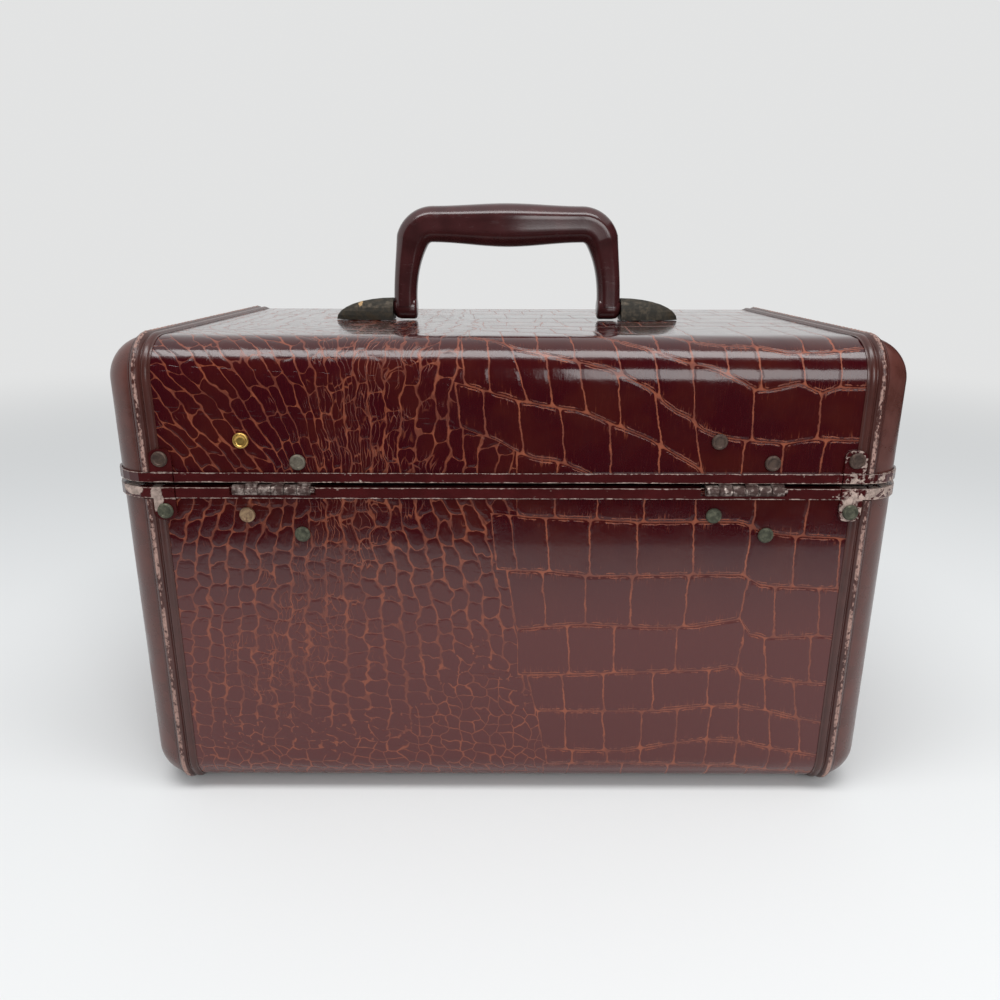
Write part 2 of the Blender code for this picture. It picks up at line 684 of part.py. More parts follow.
def leaf_section(direction):
    """Return a hinge leaf's bent section: a finger out to the axis and a plate inside the wall."""
    axis = -GAP - BARREL_RADIUS - BITE
    near = WALL + GAP
    far = near + LEAF
    end = leaf_end(direction)
    if direction > 0:
        inner, outer = LID_RIM_LOW - GAP, LID_RIM_LOW - GAP - LEAF
    else:
        inner, outer = BASE_RIM_TOP + GAP, BASE_RIM_TOP + GAP + LEAF
    return [(axis, inner), (near, inner), (near, end), (far, end), (far, outer), (axis, outer)]


def hinge_leaf(name, side, direction, parent):
    """Make one hinge leaf: plate inside the wall, fingers through the gap and knuckles."""
    middle = side * HINGE_X
    half = HINGE_LENGTH / 2
    leaf = as_piece(sweep([(middle + half, BACK_FACE), (middle - half, BACK_FACE)],
                          leaf_section(direction)), name, STEEL)
    join(leaf, rod(BARREL_RADIUS, (middle - half + BITE, HINGE_Y, HINGE_Z),
                   (middle + half - BITE, HINGE_Y, HINGE_Z)), f"{name}_barrel")
    pitch = HINGE_LENGTH / KNUCKLES
    rim = LID_RIM_LOW if direction > 0 else BASE_RIM_TOP
    slot_z = sorted((rim, rim - direction * OVERRUN))
    first = 1 if direction > 0 else 0
    for number in range(first, KNUCKLES, 2):
        start = middle - half + number * pitch - (GAP / 2 if number else OVERRUN)
        end = middle - half + (number + 1) * pitch + (GAP / 2 if number < KNUCKLES - 1 else OVERRUN)
        cut(leaf, box((start, BACK_FACE - WALL - OVERRUN, slot_z[0]), (end, BACK_FACE, slot_z[1])),
            f"{name}_slot_{number}")
        cut(leaf, box((start, BACK_FACE - WALL / 2, HINGE_Z - OVERRUN),
                      (end, HINGE_Y + OVERRUN, HINGE_Z + OVERRUN)), f"{name}_room_{number}")
    cut(leaf, rod(HINGE_PIN_RADIUS + PIN_CLEARANCE, (middle - half - OVERRUN, HINGE_Y, HINGE_Z),
                  (middle + half + OVERRUN, HINGE_Y, HINGE_Z)), f"{name}_bore")
    rivets = LID_RIVETS if direction > 0 else BASE_RIVETS
    for number, (x, z) in enumerate(rivets):
        cut(leaf, back_hole(RIVET_SHANK_RADIUS + HOLE_CLEARANCE, middle + x, PARTING_Z + z,
                            WALL + OVERRUN), f"{name}_hole_{number}")
    return hold(leaf, parent)


def make_hinges(lid_pivot):
    """Make both hinges with their pins and rivets."""
    tail = WALL + GAP + LEAF + GAP
    for label, side in SIDES:
        hinge_leaf(f"base_leaf_{label}", side, -1, None)
        hinge_leaf(f"lid_leaf_{label}", side, 1, lid_pivot)
        start = side * HINGE_X - HINGE_LENGTH / 2 - PIN_TIP
        end = side * HINGE_X + HINGE_LENGTH / 2
        smooth(as_piece(rod(HINGE_PIN_RADIUS, (start, HINGE_Y, HINGE_Z), (end, HINGE_Y, HINGE_Z)),
                        f"hinge_pin_{label}", STEEL))
        for group, rivets, parent in (("base", BASE_RIVETS, None), ("lid", LID_RIVETS, lid_pivot)):
            for number, (x, z) in enumerate(rivets, 1):
                rivet(f"{group}_hinge_rivet_{label}_{number}", side * HINGE_X + x, PARTING_Z + z,
                      GAP, tail, BRASS, parent)


def make_lid(lid_pivot):
    """Make the lid: wrap, end covers, bindings, rims and lining."""
    wrap = shell_piece("lid_wrap", WRAP, -SEAM_X + GAP / 2, SEAM_X - GAP / 2, LID_WALL_LOW,
                       TOP_FACE + OVERRUN)
    for index, hole in enumerate(lid_wall_holes()):
        cut(wrap, hole, f"lid_wall_hole_{index}")
    hold(smooth(wrap), lid_pivot)
    for label, side in SIDES:
        edges = sorted((side * (SEAM_X + GAP / 2), side * (WIDTH / 2 + OVERRUN)))
        hold(smooth(shell_piece(f"lid_end_{label}", COVER, edges[0], edges[1], LID_WALL_LOW,
                                TOP_FACE + OVERRUN)), lid_pivot)
        hold(binding_piece(f"lid_binding_{label}", side, LID_RIM_TOP + GAP, TOP_FACE + OVERRUN,
                           PARTING_Z + TAB_DROP + GAP), lid_pivot)
        rivet(f"lid_tab_rivet_{label}", side * TAB_RIVET_X, PARTING_Z + TAB_RIVET_DROP,
              TAB_PROUD + GAP, WALL + GAP, BRASS, lid_pivot)
    make_rim("lid_rim", LID_RIM_LOW, 1, LID_RIM_HEIGHT, False, lid_pivot)
    make_back_rim("lid_rim_back", LID_RIM_LOW, 1, LID_RIM_HEIGHT, lid_pivot)
    lining = as_piece(body_block(LINING_OUTER, EDGE_SEGMENTS), "lid_lining", FABRIC)
    cut(lining, body_block(LINING_INNER, HIDDEN_SEGMENTS), "lid_lining_hollow")
    lining_low = BASE_RIM_TOP + TONGUE_RISE + POCKET_CLEARANCE
    cut(lining, box((-WIDTH, -DEPTH, BOTTOM_FACE - OVERRUN), (WIDTH, DEPTH, lining_low)),
        "lid_lining_bottom")
    for index, pocket in enumerate(lid_pockets()):
        cut(lining, pocket, f"lid_pocket_{index}")
    hold(smooth(lining), lid_pivot)


def lid_wall_holes():
    """Return the cutters for all holes through the lid's front, back and top."""
    holes = []
    for _, side in SIDES:
        radius = RIVET_SHANK_RADIUS + HOLE_CLEARANCE
        for x, z in LID_RIVETS:
            holes.append(back_hole(radius, side * HINGE_X + x, PARTING_Z + z))
        holes.append(back_hole(radius, side * TAB_RIVET_X, PARTING_Z + TAB_RIVET_DROP))
        for stud in (-1, 1):
            holes.append(front_hole(STUD_RADIUS + HOLE_CLEARANCE,
                                    side * LATCH_X + stud * BRACKET_STUD_X,
                                    LID_RIM_TOP + BRACKET_STUD_RISE))
        for place in POST_STUD_PLACES:
            x = side * (POST_X + place)
            holes.append(rod(STUD_RADIUS + HOLE_CLEARANCE, (x, CASE_Y, TOP_FACE - WALL - OVERRUN),
                             (x, CASE_Y, TOP_FACE + OVERRUN)))
    return holes


def lid_pockets():
    """Return the rooms in the lid's lining for leaves, tails, studs and backing plates."""
    pockets = []
    for _, side in SIDES:
        pockets.append(leaf_pocket(side, (leaf_end(1) + POCKET_CLEARANCE, PARTING_Z)))
        reach = RIVET_TAIL_RADIUS + POCKET_CLEARANCE
        pockets.append(back_hole(reach, side * TAB_RIVET_X, PARTING_Z + TAB_RIVET_DROP,
                                 LINING_OUTER + POCKET_DEPTH))
        for stud in (-1, 1):
            pockets.append(front_hole(STUD_RADIUS + POCKET_CLEARANCE,
                                      side * LATCH_X + stud * BRACKET_STUD_X,
                                      LID_RIM_TOP + BRACKET_STUD_RISE, LINING_OUTER + POCKET_DEPTH))
        edges = backing_edges(side, POCKET_CLEARANCE)
        half = BACKING_WIDTH / 2 + POCKET_CLEARANCE
        pockets.append(box((edges[0], CASE_Y - half, TOP_FACE - LINING_OUTER - POCKET_DEPTH),
                           (edges[1], CASE_Y + half, TOP_FACE + OVERRUN)))
    return pockets


def backing_edges(side, margin=0.0):
    """Return the x range of a handle backing plate, wider by a margin."""
    reach = BACKING_MARGIN + margin
    return sorted((side * (POST_X + POST_STUD_PLACES[0] - reach),
                   side * (POST_X + POST_STUD_PLACES[1] + reach)))


def handle_route():
    """Return the handle's middle line and the section scale at each point, in its own plane.

    The first number runs across the case and the second number up from the pivots.
    """
    foot_x = (HANDLE_WIDTH - LEG_THICKNESS) / 2
    top = HANDLE_RISE - PIVOT_RISE - GRIP_MID_HEIGHT / 2 + GRIP_SAG
    lean = math.atan2(2 * LEG_LEAN, top - CORNER_RADIUS - FOOT_START)
    middle = (foot_x - LEG_LEAN - CORNER_RADIUS * math.cos(lean), top - CORNER_RADIUS)
    bend = arc(middle, CORNER_RADIUS, math.degrees(lean), 90, EDGE_SEGMENTS + 2)
    half = []
    for step in range(LEG_SEGMENTS):
        share = step / LEG_SEGMENTS
        half.append((foot_x - LEG_LEAN * share ** 2, FOOT_START + share * (bend[0][1] - FOOT_START),
                     LEG_THICKNESS + share ** 3 * (LEG_END_THICKNESS - LEG_THICKNESS)))
    for step, (x, z) in enumerate(bend):
        share = step / (len(bend) - 1)
        half.append((x, z, LEG_END_THICKNESS + share * (GRIP_END_HEIGHT - LEG_END_THICKNESS)))
    for step in range(1, EDGE_SEGMENTS + 1):
        share = smooth_share(step / EDGE_SEGMENTS)
        half.append((middle[0] * (1 - step / EDGE_SEGMENTS), top - GRIP_SAG * share,
                     GRIP_END_HEIGHT + share * (GRIP_MID_HEIGHT - GRIP_END_HEIGHT)))
    points = half + [(-x, z, thickness) for x, z, thickness in reversed(half[:-1])]
    return [(x, z) for x, z, _ in points], [thickness / 2 for _, _, thickness in points]


def smooth_share(share):
    """Ease a share between 0 and 1."""
    return share * share * (3 - 2 * share)


def superellipse(sides):
    """Return a soft-cornered unit section: thickness 1 and a larger depth."""
    points = []
    for step in range(sides):
        angle = 2 * math.pi * step / sides
        across = math.copysign(abs(math.cos(angle)) ** (2 / SECTION_POWER), math.cos(angle))
        deep = math.copysign(abs(math.sin(angle)) ** (2 / SECTION_POWER), math.sin(angle))
        points.append((across, deep * SECTION_DEPTH_SHARE))
    return points


def make_handle(handle_pivot, lid_pivot):
    """Make the moulded handle with its feet and lugs, the two posts, plates and pins."""
    path, scales = handle_route()
    upright = Matrix.Translation((0.0, CASE_Y, PIVOT_Z)) @ Matrix.Rotation(math.radians(90), 4, "X")
    handle = as_piece(sweep(path, superellipse(ROUND_SIDES), scales, upright), "handle", GRIP)
    for label, side in SIDES:
        outer = HANDLE_WIDTH / 2
        join(handle, rod(FOOT_RADIUS, (side * (outer - LEG_THICKNESS), CASE_Y, PIVOT_Z),
                         (side * outer, CASE_Y, PIVOT_Z), ROUND_SIDES), f"handle_foot_{label}")
        join(handle, rod(LUG_RADIUS, (side * (outer - BITE), CASE_Y, PIVOT_Z),
                         (side * (outer + LUG_LENGTH), CASE_Y, PIVOT_Z)), f"handle_lug_{label}")
        cut(handle, rod(HANDLE_PIN_RADIUS + PIN_CLEARANCE,
                        (side * (outer - HANDLE_PIN_START - GAP), CASE_Y, PIVOT_Z),
                        (side * (outer + LUG_LENGTH + OVERRUN), CASE_Y, PIVOT_Z)), f"handle_bore_{label}")
        handle_post(label, side, lid_pivot)
        hold(smooth(as_piece(rod(HANDLE_PIN_RADIUS, (side * (outer - HANDLE_PIN_START), CASE_Y, PIVOT_Z),
                                 (side * (POST_X + HANDLE_PIN_REACH), CASE_Y, PIVOT_Z)),
                             f"handle_pin_{label}", STEEL)), lid_pivot)
    hold(smooth(handle), handle_pivot)


def handle_post(label, side, lid_pivot):
    """Make one teardrop post with its mouth and bore, and the backing plate with its studs."""
    seat = TOP_FACE + GAP
    shape = bmesh.new()
    bmesh.ops.create_uvsphere(shape, u_segments=32, v_segments=16, radius=1.0)
    bmesh.ops.scale(shape, vec=(POST_LENGTH, POST_WIDTH / 2, POST_HEIGHT), verts=shape.verts)
    bmesh.ops.translate(shape, vec=(side * POST_X, CASE_Y, seat), verts=shape.verts)
    mesh = bpy.data.meshes.new("post")
    shape.to_mesh(mesh)
    shape.free()
    post = as_piece(mesh_object(mesh), f"handle_post_{label}", BRASS)
    edges = sorted((side * POST_X, side * (POST_X + POST_LENGTH + OVERRUN)))
    keep(post, box((edges[0], CASE_Y - POST_WIDTH, seat),
                   (edges[1], CASE_Y + POST_WIDTH, seat + POST_HEIGHT + OVERRUN)), f"post_room_{label}")
    mouth = LUG_RADIUS + GAP
    mouth_end = side * (HANDLE_WIDTH / 2 + LUG_LENGTH + GAP)
    cut(post, rod(mouth, (side * (POST_X - OVERRUN), CASE_Y, PIVOT_Z), (mouth_end, CASE_Y, PIVOT_Z)),
        f"post_mouth_{label}")
    cut(post, rod(HANDLE_PIN_RADIUS + PIN_CLEARANCE, (side * (POST_X - OVERRUN), CASE_Y, PIVOT_Z),
                  (side * (POST_X + HANDLE_PIN_REACH + GAP), CASE_Y, PIVOT_Z)), f"post_bore_{label}")
    edges = backing_edges(side)
    under = TOP_FACE - WALL - GAP
    plate = as_piece(box((edges[0], CASE_Y - BACKING_WIDTH / 2, under - LEAF),
                         (edges[1], CASE_Y + BACKING_WIDTH / 2, under)), f"handle_backing_{label}", STEEL)
    for number, place in enumerate(POST_STUD_PLACES):
        x = side * (POST_X + place)
        stud_top = seat + POST_STUD_RISE
        cut(post, rod(STUD_RADIUS + HOLE_CLEARANCE, (x, CASE_Y, seat - OVERRUN),
                      (x, CASE_Y, stud_top + GAP)), f"post_hole_{label}_{number}")
        join(plate, rod(STUD_RADIUS, (x, CASE_Y, under - BITE), (x, CASE_Y, stud_top)),
             f"post_stud_{label}_{number}")
    hold(smooth(post), lid_pivot)
    hold(plate, lid_pivot)


def front_y(out):
    """Return the y of a place this far in front of the front panel."""
    return FRONT_FACE - out


def make_latch(label, side, lid_pivot):
    """Make one latch: lock case, key barrel, thumb slide, hasp, bracket and pin."""
    middle = side * LATCH_X
    hasp_pivot = pivot(f"hasp_pivot_{label}", (middle, front_y(BOLT_OUT), HASP_PIVOT_Z))
    hold(hasp_pivot, lid_pivot)
    lock_case(label, side, middle)
    thumb_slide(label, side, middle)
    key_barrel(label, side, middle)
    hasp(label, middle, hasp_pivot)
    hasp_bracket(label, middle, lid_pivot)
    reach = HASP_WIDTH / 2 + GAP + BRACKET_LUG
    hold(smooth(as_piece(rod(HASP_PIN_RADIUS, (middle - reach, front_y(BOLT_OUT), HASP_PIVOT_Z),
                             (middle + reach, front_y(BOLT_OUT), HASP_PIVOT_Z)),
                         f"hasp_pin_{label}", STEEL)), lid_pivot)


def lock_case(label, side, middle):
    """Make the lock's box with its notch, bolt bore, slide slot, barrel bore and studs."""
    half = LOCK_WIDTH / 2
    face = GAP + LOCK_DEPTH
    lock = as_piece(block((middle - half, front_y(face), LOCK_LOW), (middle + half, front_y(GAP), LOCK_TOP),
                          LOCK_CORNER, 1), f"lock_case_{label}", BRASS)
    notch = HASP_WIDTH / 2 + NOTCH_CLEARANCE
    notch_low = BOLT_Z - HASP_BELOW_BOLT - NOTCH_CLEARANCE
    cut(lock, box((middle - notch, front_y(face + OVERRUN), notch_low),
                  (middle + notch, front_y(HASP_INNER - GAP), LOCK_TOP + OVERRUN)), f"lock_notch_{label}")
    bore = BOLT_RADIUS + HOLE_CLEARANCE
    cut(lock, rod(bore, (middle, front_y(BOLT_OUT), BOLT_Z),
                  (middle + side * (half + OVERRUN), front_y(BOLT_OUT), BOLT_Z)), f"lock_bore_{label}")
    inner, outer = slide_shank(side)
    slot = sorted((middle + inner - side * (SLIDE_TRAVEL + GAP), middle + outer + side * GAP))
    rise = SHANK_WIDTH / 2 + GAP
    cut(lock, box((slot[0], front_y(face + OVERRUN), BOLT_Z - rise),
                  (slot[1], front_y(BOLT_OUT), BOLT_Z + rise)), f"lock_slot_{label}")
    x = middle - side * BARREL_X
    deep = face + KEY_PROUD - KEY_DEPTH - GAP
    cut(lock, rod(KEY_RADIUS + GAP, (x, front_y(deep), BOLT_Z), (x, front_y(face + OVERRUN), BOLT_Z),
                  ROUND_SIDES), f"lock_barrel_bore_{label}")
    for number in (-1, 1):
        x = middle + number * LOCK_STUD_X
        z = LOCK_LOW + LOCK_STUD_RISE
        join(lock, rod(STUD_RADIUS, (x, front_y(GAP + BITE), z), (x, front_y(-WALL - STUD_TAIL), z)),
             f"lock_stud_{label}_{number}")
    return smooth(lock)


def slide_tip(side):
    """Return the bolt tip's x from the latch's middle when the slide is released."""
    return side * (HASP_WIDTH / 2 + 2 * NOTCH_CLEARANCE)


def slide_shank(side):
    """Return the x range of the slide's shank from the latch's middle, inner edge first."""
    inner = slide_tip(side) + side * SHANK_FROM_TIP
    return inner, inner + side * SHANK_WIDTH


def thumb_slide(label, side, middle):
    """Make the bolt with its shank and thumb knob."""
    tip = slide_tip(side)
    slide = as_piece(rod(BOLT_RADIUS, (middle + tip, front_y(BOLT_OUT), BOLT_Z),
                         (middle + tip + side * BOLT_LENGTH, front_y(BOLT_OUT), BOLT_Z)),
                     f"thumb_slide_{label}", BRASS)
    inner, outer = slide_shank(side)
    edges = sorted((middle + inner, middle + outer))
    knob_back = 2 * GAP + LOCK_DEPTH
    join(slide, box((edges[0], front_y(knob_back + BITE), BOLT_Z - SHANK_WIDTH / 2),
                    (edges[1], front_y(BOLT_OUT), BOLT_Z + SHANK_WIDTH / 2)), f"slide_shank_{label}")
    knob_middle = (edges[0] + edges[1]) / 2
    join(slide, block((knob_middle - KNOB_WIDTH / 2, front_y(knob_back + KNOB_DEPTH),
                       BOLT_Z - KNOB_HEIGHT / 2),
                      (knob_middle + KNOB_WIDTH / 2, front_y(knob_back), BOLT_Z + KNOB_HEIGHT / 2),
                      KNOB_BEVEL, 1), f"slide_knob_{label}")
    return smooth(slide)


def key_barrel(label, side, middle):
    """Make the turning key barrel with its slot."""
    x = middle - side * BARREL_X
    face = GAP + LOCK_DEPTH + KEY_PROUD
    barrel = rod(KEY_RADIUS, (x, front_y(face - KEY_DEPTH), BOLT_Z), (x, front_y(face), BOLT_Z), ROUND_SIDES)
    barrel = as_piece(barrel, f"key_barrel_{label}", STEEL)
    cut(barrel, box((x - KEY_SLOT_WIDTH / 2, front_y(face + OVERRUN), BOLT_Z - KEY_SLOT_LENGTH / 2),
                    (x + KEY_SLOT_WIDTH / 2, front_y(face - KEY_SLOT_DEPTH), BOLT_Z + KEY_SLOT_LENGTH / 2)),
        f"key_slot_{label}")
    return smooth(barrel)


def hasp_section():
    """Return the hasp's side outline: plate, block with the bolt's eye, and lifting lip."""
    low = BOLT_Z - HASP_BELOW_BOLT
    high = BOLT_Z + HASP_ABOVE_BOLT
    back, front = -HASP_INNER, -HASP_INNER - HASP_BLOCK
    plate_back, plate_front = -BOLT_OUT + HASP_PLATE / 2, -BOLT_OUT - HASP_PLATE / 2
    shoulder = high - HASP_SHOULDER
    return [(back, low), (front - HASP_LIP, low), (front - HASP_LIP, low + HASP_LIP),
            (front, low + HASP_LIP), (front, shoulder), (plate_front, high),
            (plate_front, HASP_PIVOT_Z), (plate_back, HASP_PIVOT_Z), (plate_back, high),
            (back, shoulder)]


def hasp(label, middle, hasp_pivot):
    """Make the swinging hasp: its bent plate, its knuckle, and the holes for pin and bolt."""
    half = HASP_WIDTH / 2
    piece = as_piece(sweep([(middle - half, FRONT_FACE), (middle + half, FRONT_FACE)], hasp_section()),
                     f"hasp_{label}", BRASS)
    join(piece, rod(HASP_KNUCKLE_RADIUS, (middle - half + BITE, front_y(BOLT_OUT), HASP_PIVOT_Z),
                    (middle + half - BITE, front_y(BOLT_OUT), HASP_PIVOT_Z)), f"hasp_knuckle_{label}")
    cut(piece, rod(HASP_PIN_RADIUS + PIN_CLEARANCE,
                   (middle - half - OVERRUN, front_y(BOLT_OUT), HASP_PIVOT_Z),
                   (middle + half + OVERRUN, front_y(BOLT_OUT), HASP_PIVOT_Z)), f"hasp_bore_{label}")
    cut(piece, rod(BOLT_RADIUS + HOLE_CLEARANCE,
                   (middle - half - OVERRUN, front_y(BOLT_OUT), BOLT_Z),
                   (middle + half + OVERRUN, front_y(BOLT_OUT), BOLT_Z)), f"hasp_eye_{label}")
    return hold(smooth(piece), hasp_pivot)


def hasp_bracket(label, middle, lid_pivot):
    """Make the bracket on the lid that carries the hasp's pin, with its fixing studs."""
    reach = HASP_WIDTH / 2 + GAP + BRACKET_LUG
    low = LID_RIM_TOP + GAP
    plate = reach + BRACKET_MARGIN
    piece = as_piece(block((middle - plate, front_y(GAP + BRACKET_PLATE), low),
                           (middle + plate, front_y(GAP), low + BRACKET_HEIGHT), BRACKET_CORNER, 1),
                     f"hasp_bracket_{label}", BRASS)
    for number in (-1, 1):
        edges = sorted((middle + number * (reach - BRACKET_LUG), middle + number * reach))
        rise = HASP_KNUCKLE_RADIUS - BITE
        join(piece, box((edges[0], front_y(BOLT_OUT + BITE), HASP_PIVOT_Z - rise),
                        (edges[1], front_y(GAP + BRACKET_PLATE - BITE), HASP_PIVOT_Z + rise)),
             f"bracket_lug_{label}_{number}")
        join(piece, rod(HASP_KNUCKLE_RADIUS, (edges[0] + BITE, front_y(BOLT_OUT), HASP_PIVOT_Z),
                        (edges[1] - BITE, front_y(BOLT_OUT), HASP_PIVOT_Z)), f"bracket_eye_{label}_{number}")
        x = middle + number * BRACKET_STUD_X
        z = LID_RIM_TOP + BRACKET_STUD_RISE
        join(piece, rod(STUD_RADIUS, (x, front_y(GAP + BITE), z), (x, front_y(-WALL - STUD_TAIL), z)),
             f"bracket_stud_{label}_{number}")
    cut(piece, rod(HASP_PIN_RADIUS + PIN_CLEARANCE, (middle - reach - OVERRUN, front_y(BOLT_OUT), HASP_PIVOT_Z),
                   (middle + reach + OVERRUN, front_y(BOLT_OUT), HASP_PIVOT_Z)), f"bracket_bore_{label}")
    return hold(smooth(piece), lid_pivot)


def make_mirror(lid_pivot):
    """Make the mirror and the frame that holds it under the lid's top."""
    top = TOP_FACE - LINING_INNER - GAP
    frame_low = top - GAP - MIRROR_THICKNESS - GAP - MIRROR_LIP_THICKNESS
    half = (MIRROR_LENGTH / 2, MIRROR_WIDTH / 2)
    outer = [value + MIRROR_BORDER for value in half]
    room = [value + GAP for value in half]
    inner = [value - MIRROR_LIP for value in half]
    frame = as_piece(block((-outer[0], CASE_Y - outer[1], frame_low), (outer[0], CASE_Y + outer[1], top),
                           MIRROR_CORNER, 2), "mirror_frame", WOOD)
    lip_top = frame_low + MIRROR_LIP_THICKNESS
    cut(frame, box((-room[0], CASE_Y - room[1], lip_top), (room[0], CASE_Y + room[1], top + OVERRUN)),
        "mirror_room")
    cut(frame, box((-inner[0], CASE_Y - inner[1], frame_low - OVERRUN),
                   (inner[0], CASE_Y + inner[1], lip_top + OVERRUN)), "mirror_window")
    mirror = as_piece(box((-half[0], CASE_Y - half[1], lip_top + GAP),
                          (half[0], CASE_Y + half[1], lip_top + GAP + MIRROR_THICKNESS)), "mirror", MIRROR)
    hold(frame, lid_pivot)
    hold(mirror, lid_pivot)


def make_tray():
    """Make the lift-out tray with two dividers and finger cuts in its ends."""
    top = PARTING_Z - TRAY_TOP_DROP
    low = top - TRAY_HEIGHT
    reach = LINING_INNER + TRAY_CLEARANCE
    half = (WIDTH / 2 - reach, DEPTH / 2 - reach)
    tray = as_piece(block((-half[0], CASE_Y - half[1], low), (half[0], CASE_Y + half[1], top),
                          TRAY_CORNER, 2, EDGE_SEGMENTS), "tray", FABRIC)
    ends = [-half[0] + TRAY_WALL]
    for share in DIVIDER_SHARES:
        middle = share * 2 * half[0]
        ends += [middle - TRAY_WALL / 2, middle + TRAY_WALL / 2]
    ends.append(half[0] - TRAY_WALL)
    for number in range(0, len(ends), 2):
        cut(tray, block((ends[number], CASE_Y - half[1] + TRAY_WALL, low + TRAY_WALL),
                        (ends[number + 1], CASE_Y + half[1] - TRAY_WALL, top + OVERRUN),
                        TRAY_CORNER - TRAY_WALL, 2), f"tray_room_{number // 2}")
    for label, side in SIDES:
        edges = sorted((side * (half[0] - TRAY_WALL - OVERRUN), side * (half[0] + OVERRUN)))
        cut(tray, box((edges[0], CASE_Y - FINGER_CUT_WIDTH / 2, top - FINGER_CUT_DEPTH),
                      (edges[1], CASE_Y + FINGER_CUT_WIDTH / 2, top + OVERRUN)), f"finger_cut_{label}")
    return smooth(tray)


def main():
    """Build the whole case, closed, with the handle upright and the bolts drawn back."""
    lid_pivot = pivot("lid_pivot", (0.0, HINGE_Y, HINGE_Z))
    handle_pivot = pivot("handle_pivot", (0.0, CASE_Y, PIVOT_Z))
    hold(handle_pivot, lid_pivot)
    make_base()
    make_lid(lid_pivot)
    make_hinges(lid_pivot)
    make_handle(handle_pivot, lid_pivot)
    for label, side in SIDES:
        make_latch(label, side, lid_pivot)
    make_mirror(lid_pivot)
    make_tray()


main()
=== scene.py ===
"""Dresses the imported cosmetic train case: reptile-embossed wraps, worn metal rims, moulded handle.

Metres, +Z up, in the frame of the CAD model. The case stands on z = 0 with its latches facing -Y
and its hinges at +Y, where the photograph's camera stands. Sizes are written in millimetres times
MM. A wrap's own surface is measured by how far it unrolls: v is the height on the hinge side, and
runs on round the corner, over the bottom or top panel and along the latch side.
"""

import logging
import math
from collections.abc import Callable
from dataclasses import dataclass, field
from enum import Enum

import bmesh
import bpy
import numpy as np
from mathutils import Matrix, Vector


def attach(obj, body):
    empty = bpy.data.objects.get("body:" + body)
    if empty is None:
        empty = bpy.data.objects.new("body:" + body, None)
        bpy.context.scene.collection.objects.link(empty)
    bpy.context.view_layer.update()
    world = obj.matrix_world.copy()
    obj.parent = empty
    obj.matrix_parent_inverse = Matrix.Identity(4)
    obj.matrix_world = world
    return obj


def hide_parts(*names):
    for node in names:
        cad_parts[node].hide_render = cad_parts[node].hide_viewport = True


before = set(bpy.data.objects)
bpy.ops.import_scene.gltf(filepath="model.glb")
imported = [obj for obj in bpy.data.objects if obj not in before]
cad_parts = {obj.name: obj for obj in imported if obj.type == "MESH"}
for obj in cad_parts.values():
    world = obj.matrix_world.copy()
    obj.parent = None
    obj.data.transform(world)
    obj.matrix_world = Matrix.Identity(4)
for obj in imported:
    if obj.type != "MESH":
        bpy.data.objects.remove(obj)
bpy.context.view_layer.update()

MM = 0.001
SIDES = (("left", -1.0), ("right", 1.0))
log = logging.getLogger("train_case")

Colour = tuple[float, float, float]
Point = tuple[float, float]
Place = tuple[float, float, float]


class Half(Enum):
    """The two halves of the case, named as their bodies."""

    BASE = "base"
    LID = "lid"


def shade(colour: Colour, share: float) -> Colour:
    """Return a colour made darker or lighter by a share."""
    return tuple(min(1.0, share * part) for part in colour)


def linked(name: str, data: bpy.types.ID) -> bpy.types.Object:
    """Return a new object that shows some data in the scene."""
    obj = bpy.data.objects.new(name, data)
    bpy.context.scene.collection.objects.link(obj)
    return obj


def joined(operation: str, turned: bool = False) -> Callable[["Signal", object], "Signal"]:
    """Return a method that joins a signal and another value by one Math node.

    Args:
        operation: The Math node's operation.
        turned: Whether the other value comes first.

    Returns:
        The method.
    """
    def join(self: "Signal", other: object) -> "Signal":
        """Return the Math node's result."""
        return self.wires.maths(operation, *((other, self) if turned else (self, other)))

    return join


class Signal:
    """An output of a shader node, which is reckoned with like a number."""

    def __init__(self, wires: "Wires", socket: bpy.types.NodeSocket) -> None:
        """Hold the socket and the wires that join it."""
        self.wires, self.socket = wires, socket

    __add__, __radd__ = joined("ADD"), joined("ADD", True)
    __sub__, __rsub__ = joined("SUBTRACT"), joined("SUBTRACT", True)
    __mul__, __rmul__ = joined("MULTIPLY"), joined("MULTIPLY", True)
    __truediv__, __rtruediv__ = joined("DIVIDE"), joined("DIVIDE", True)
    least, most = joined("MINIMUM"), joined("MAXIMUM")

    def __abs__(self) -> "Signal":
        """Return the value without its sign."""
        return self.wires.maths("ABSOLUTE", self)


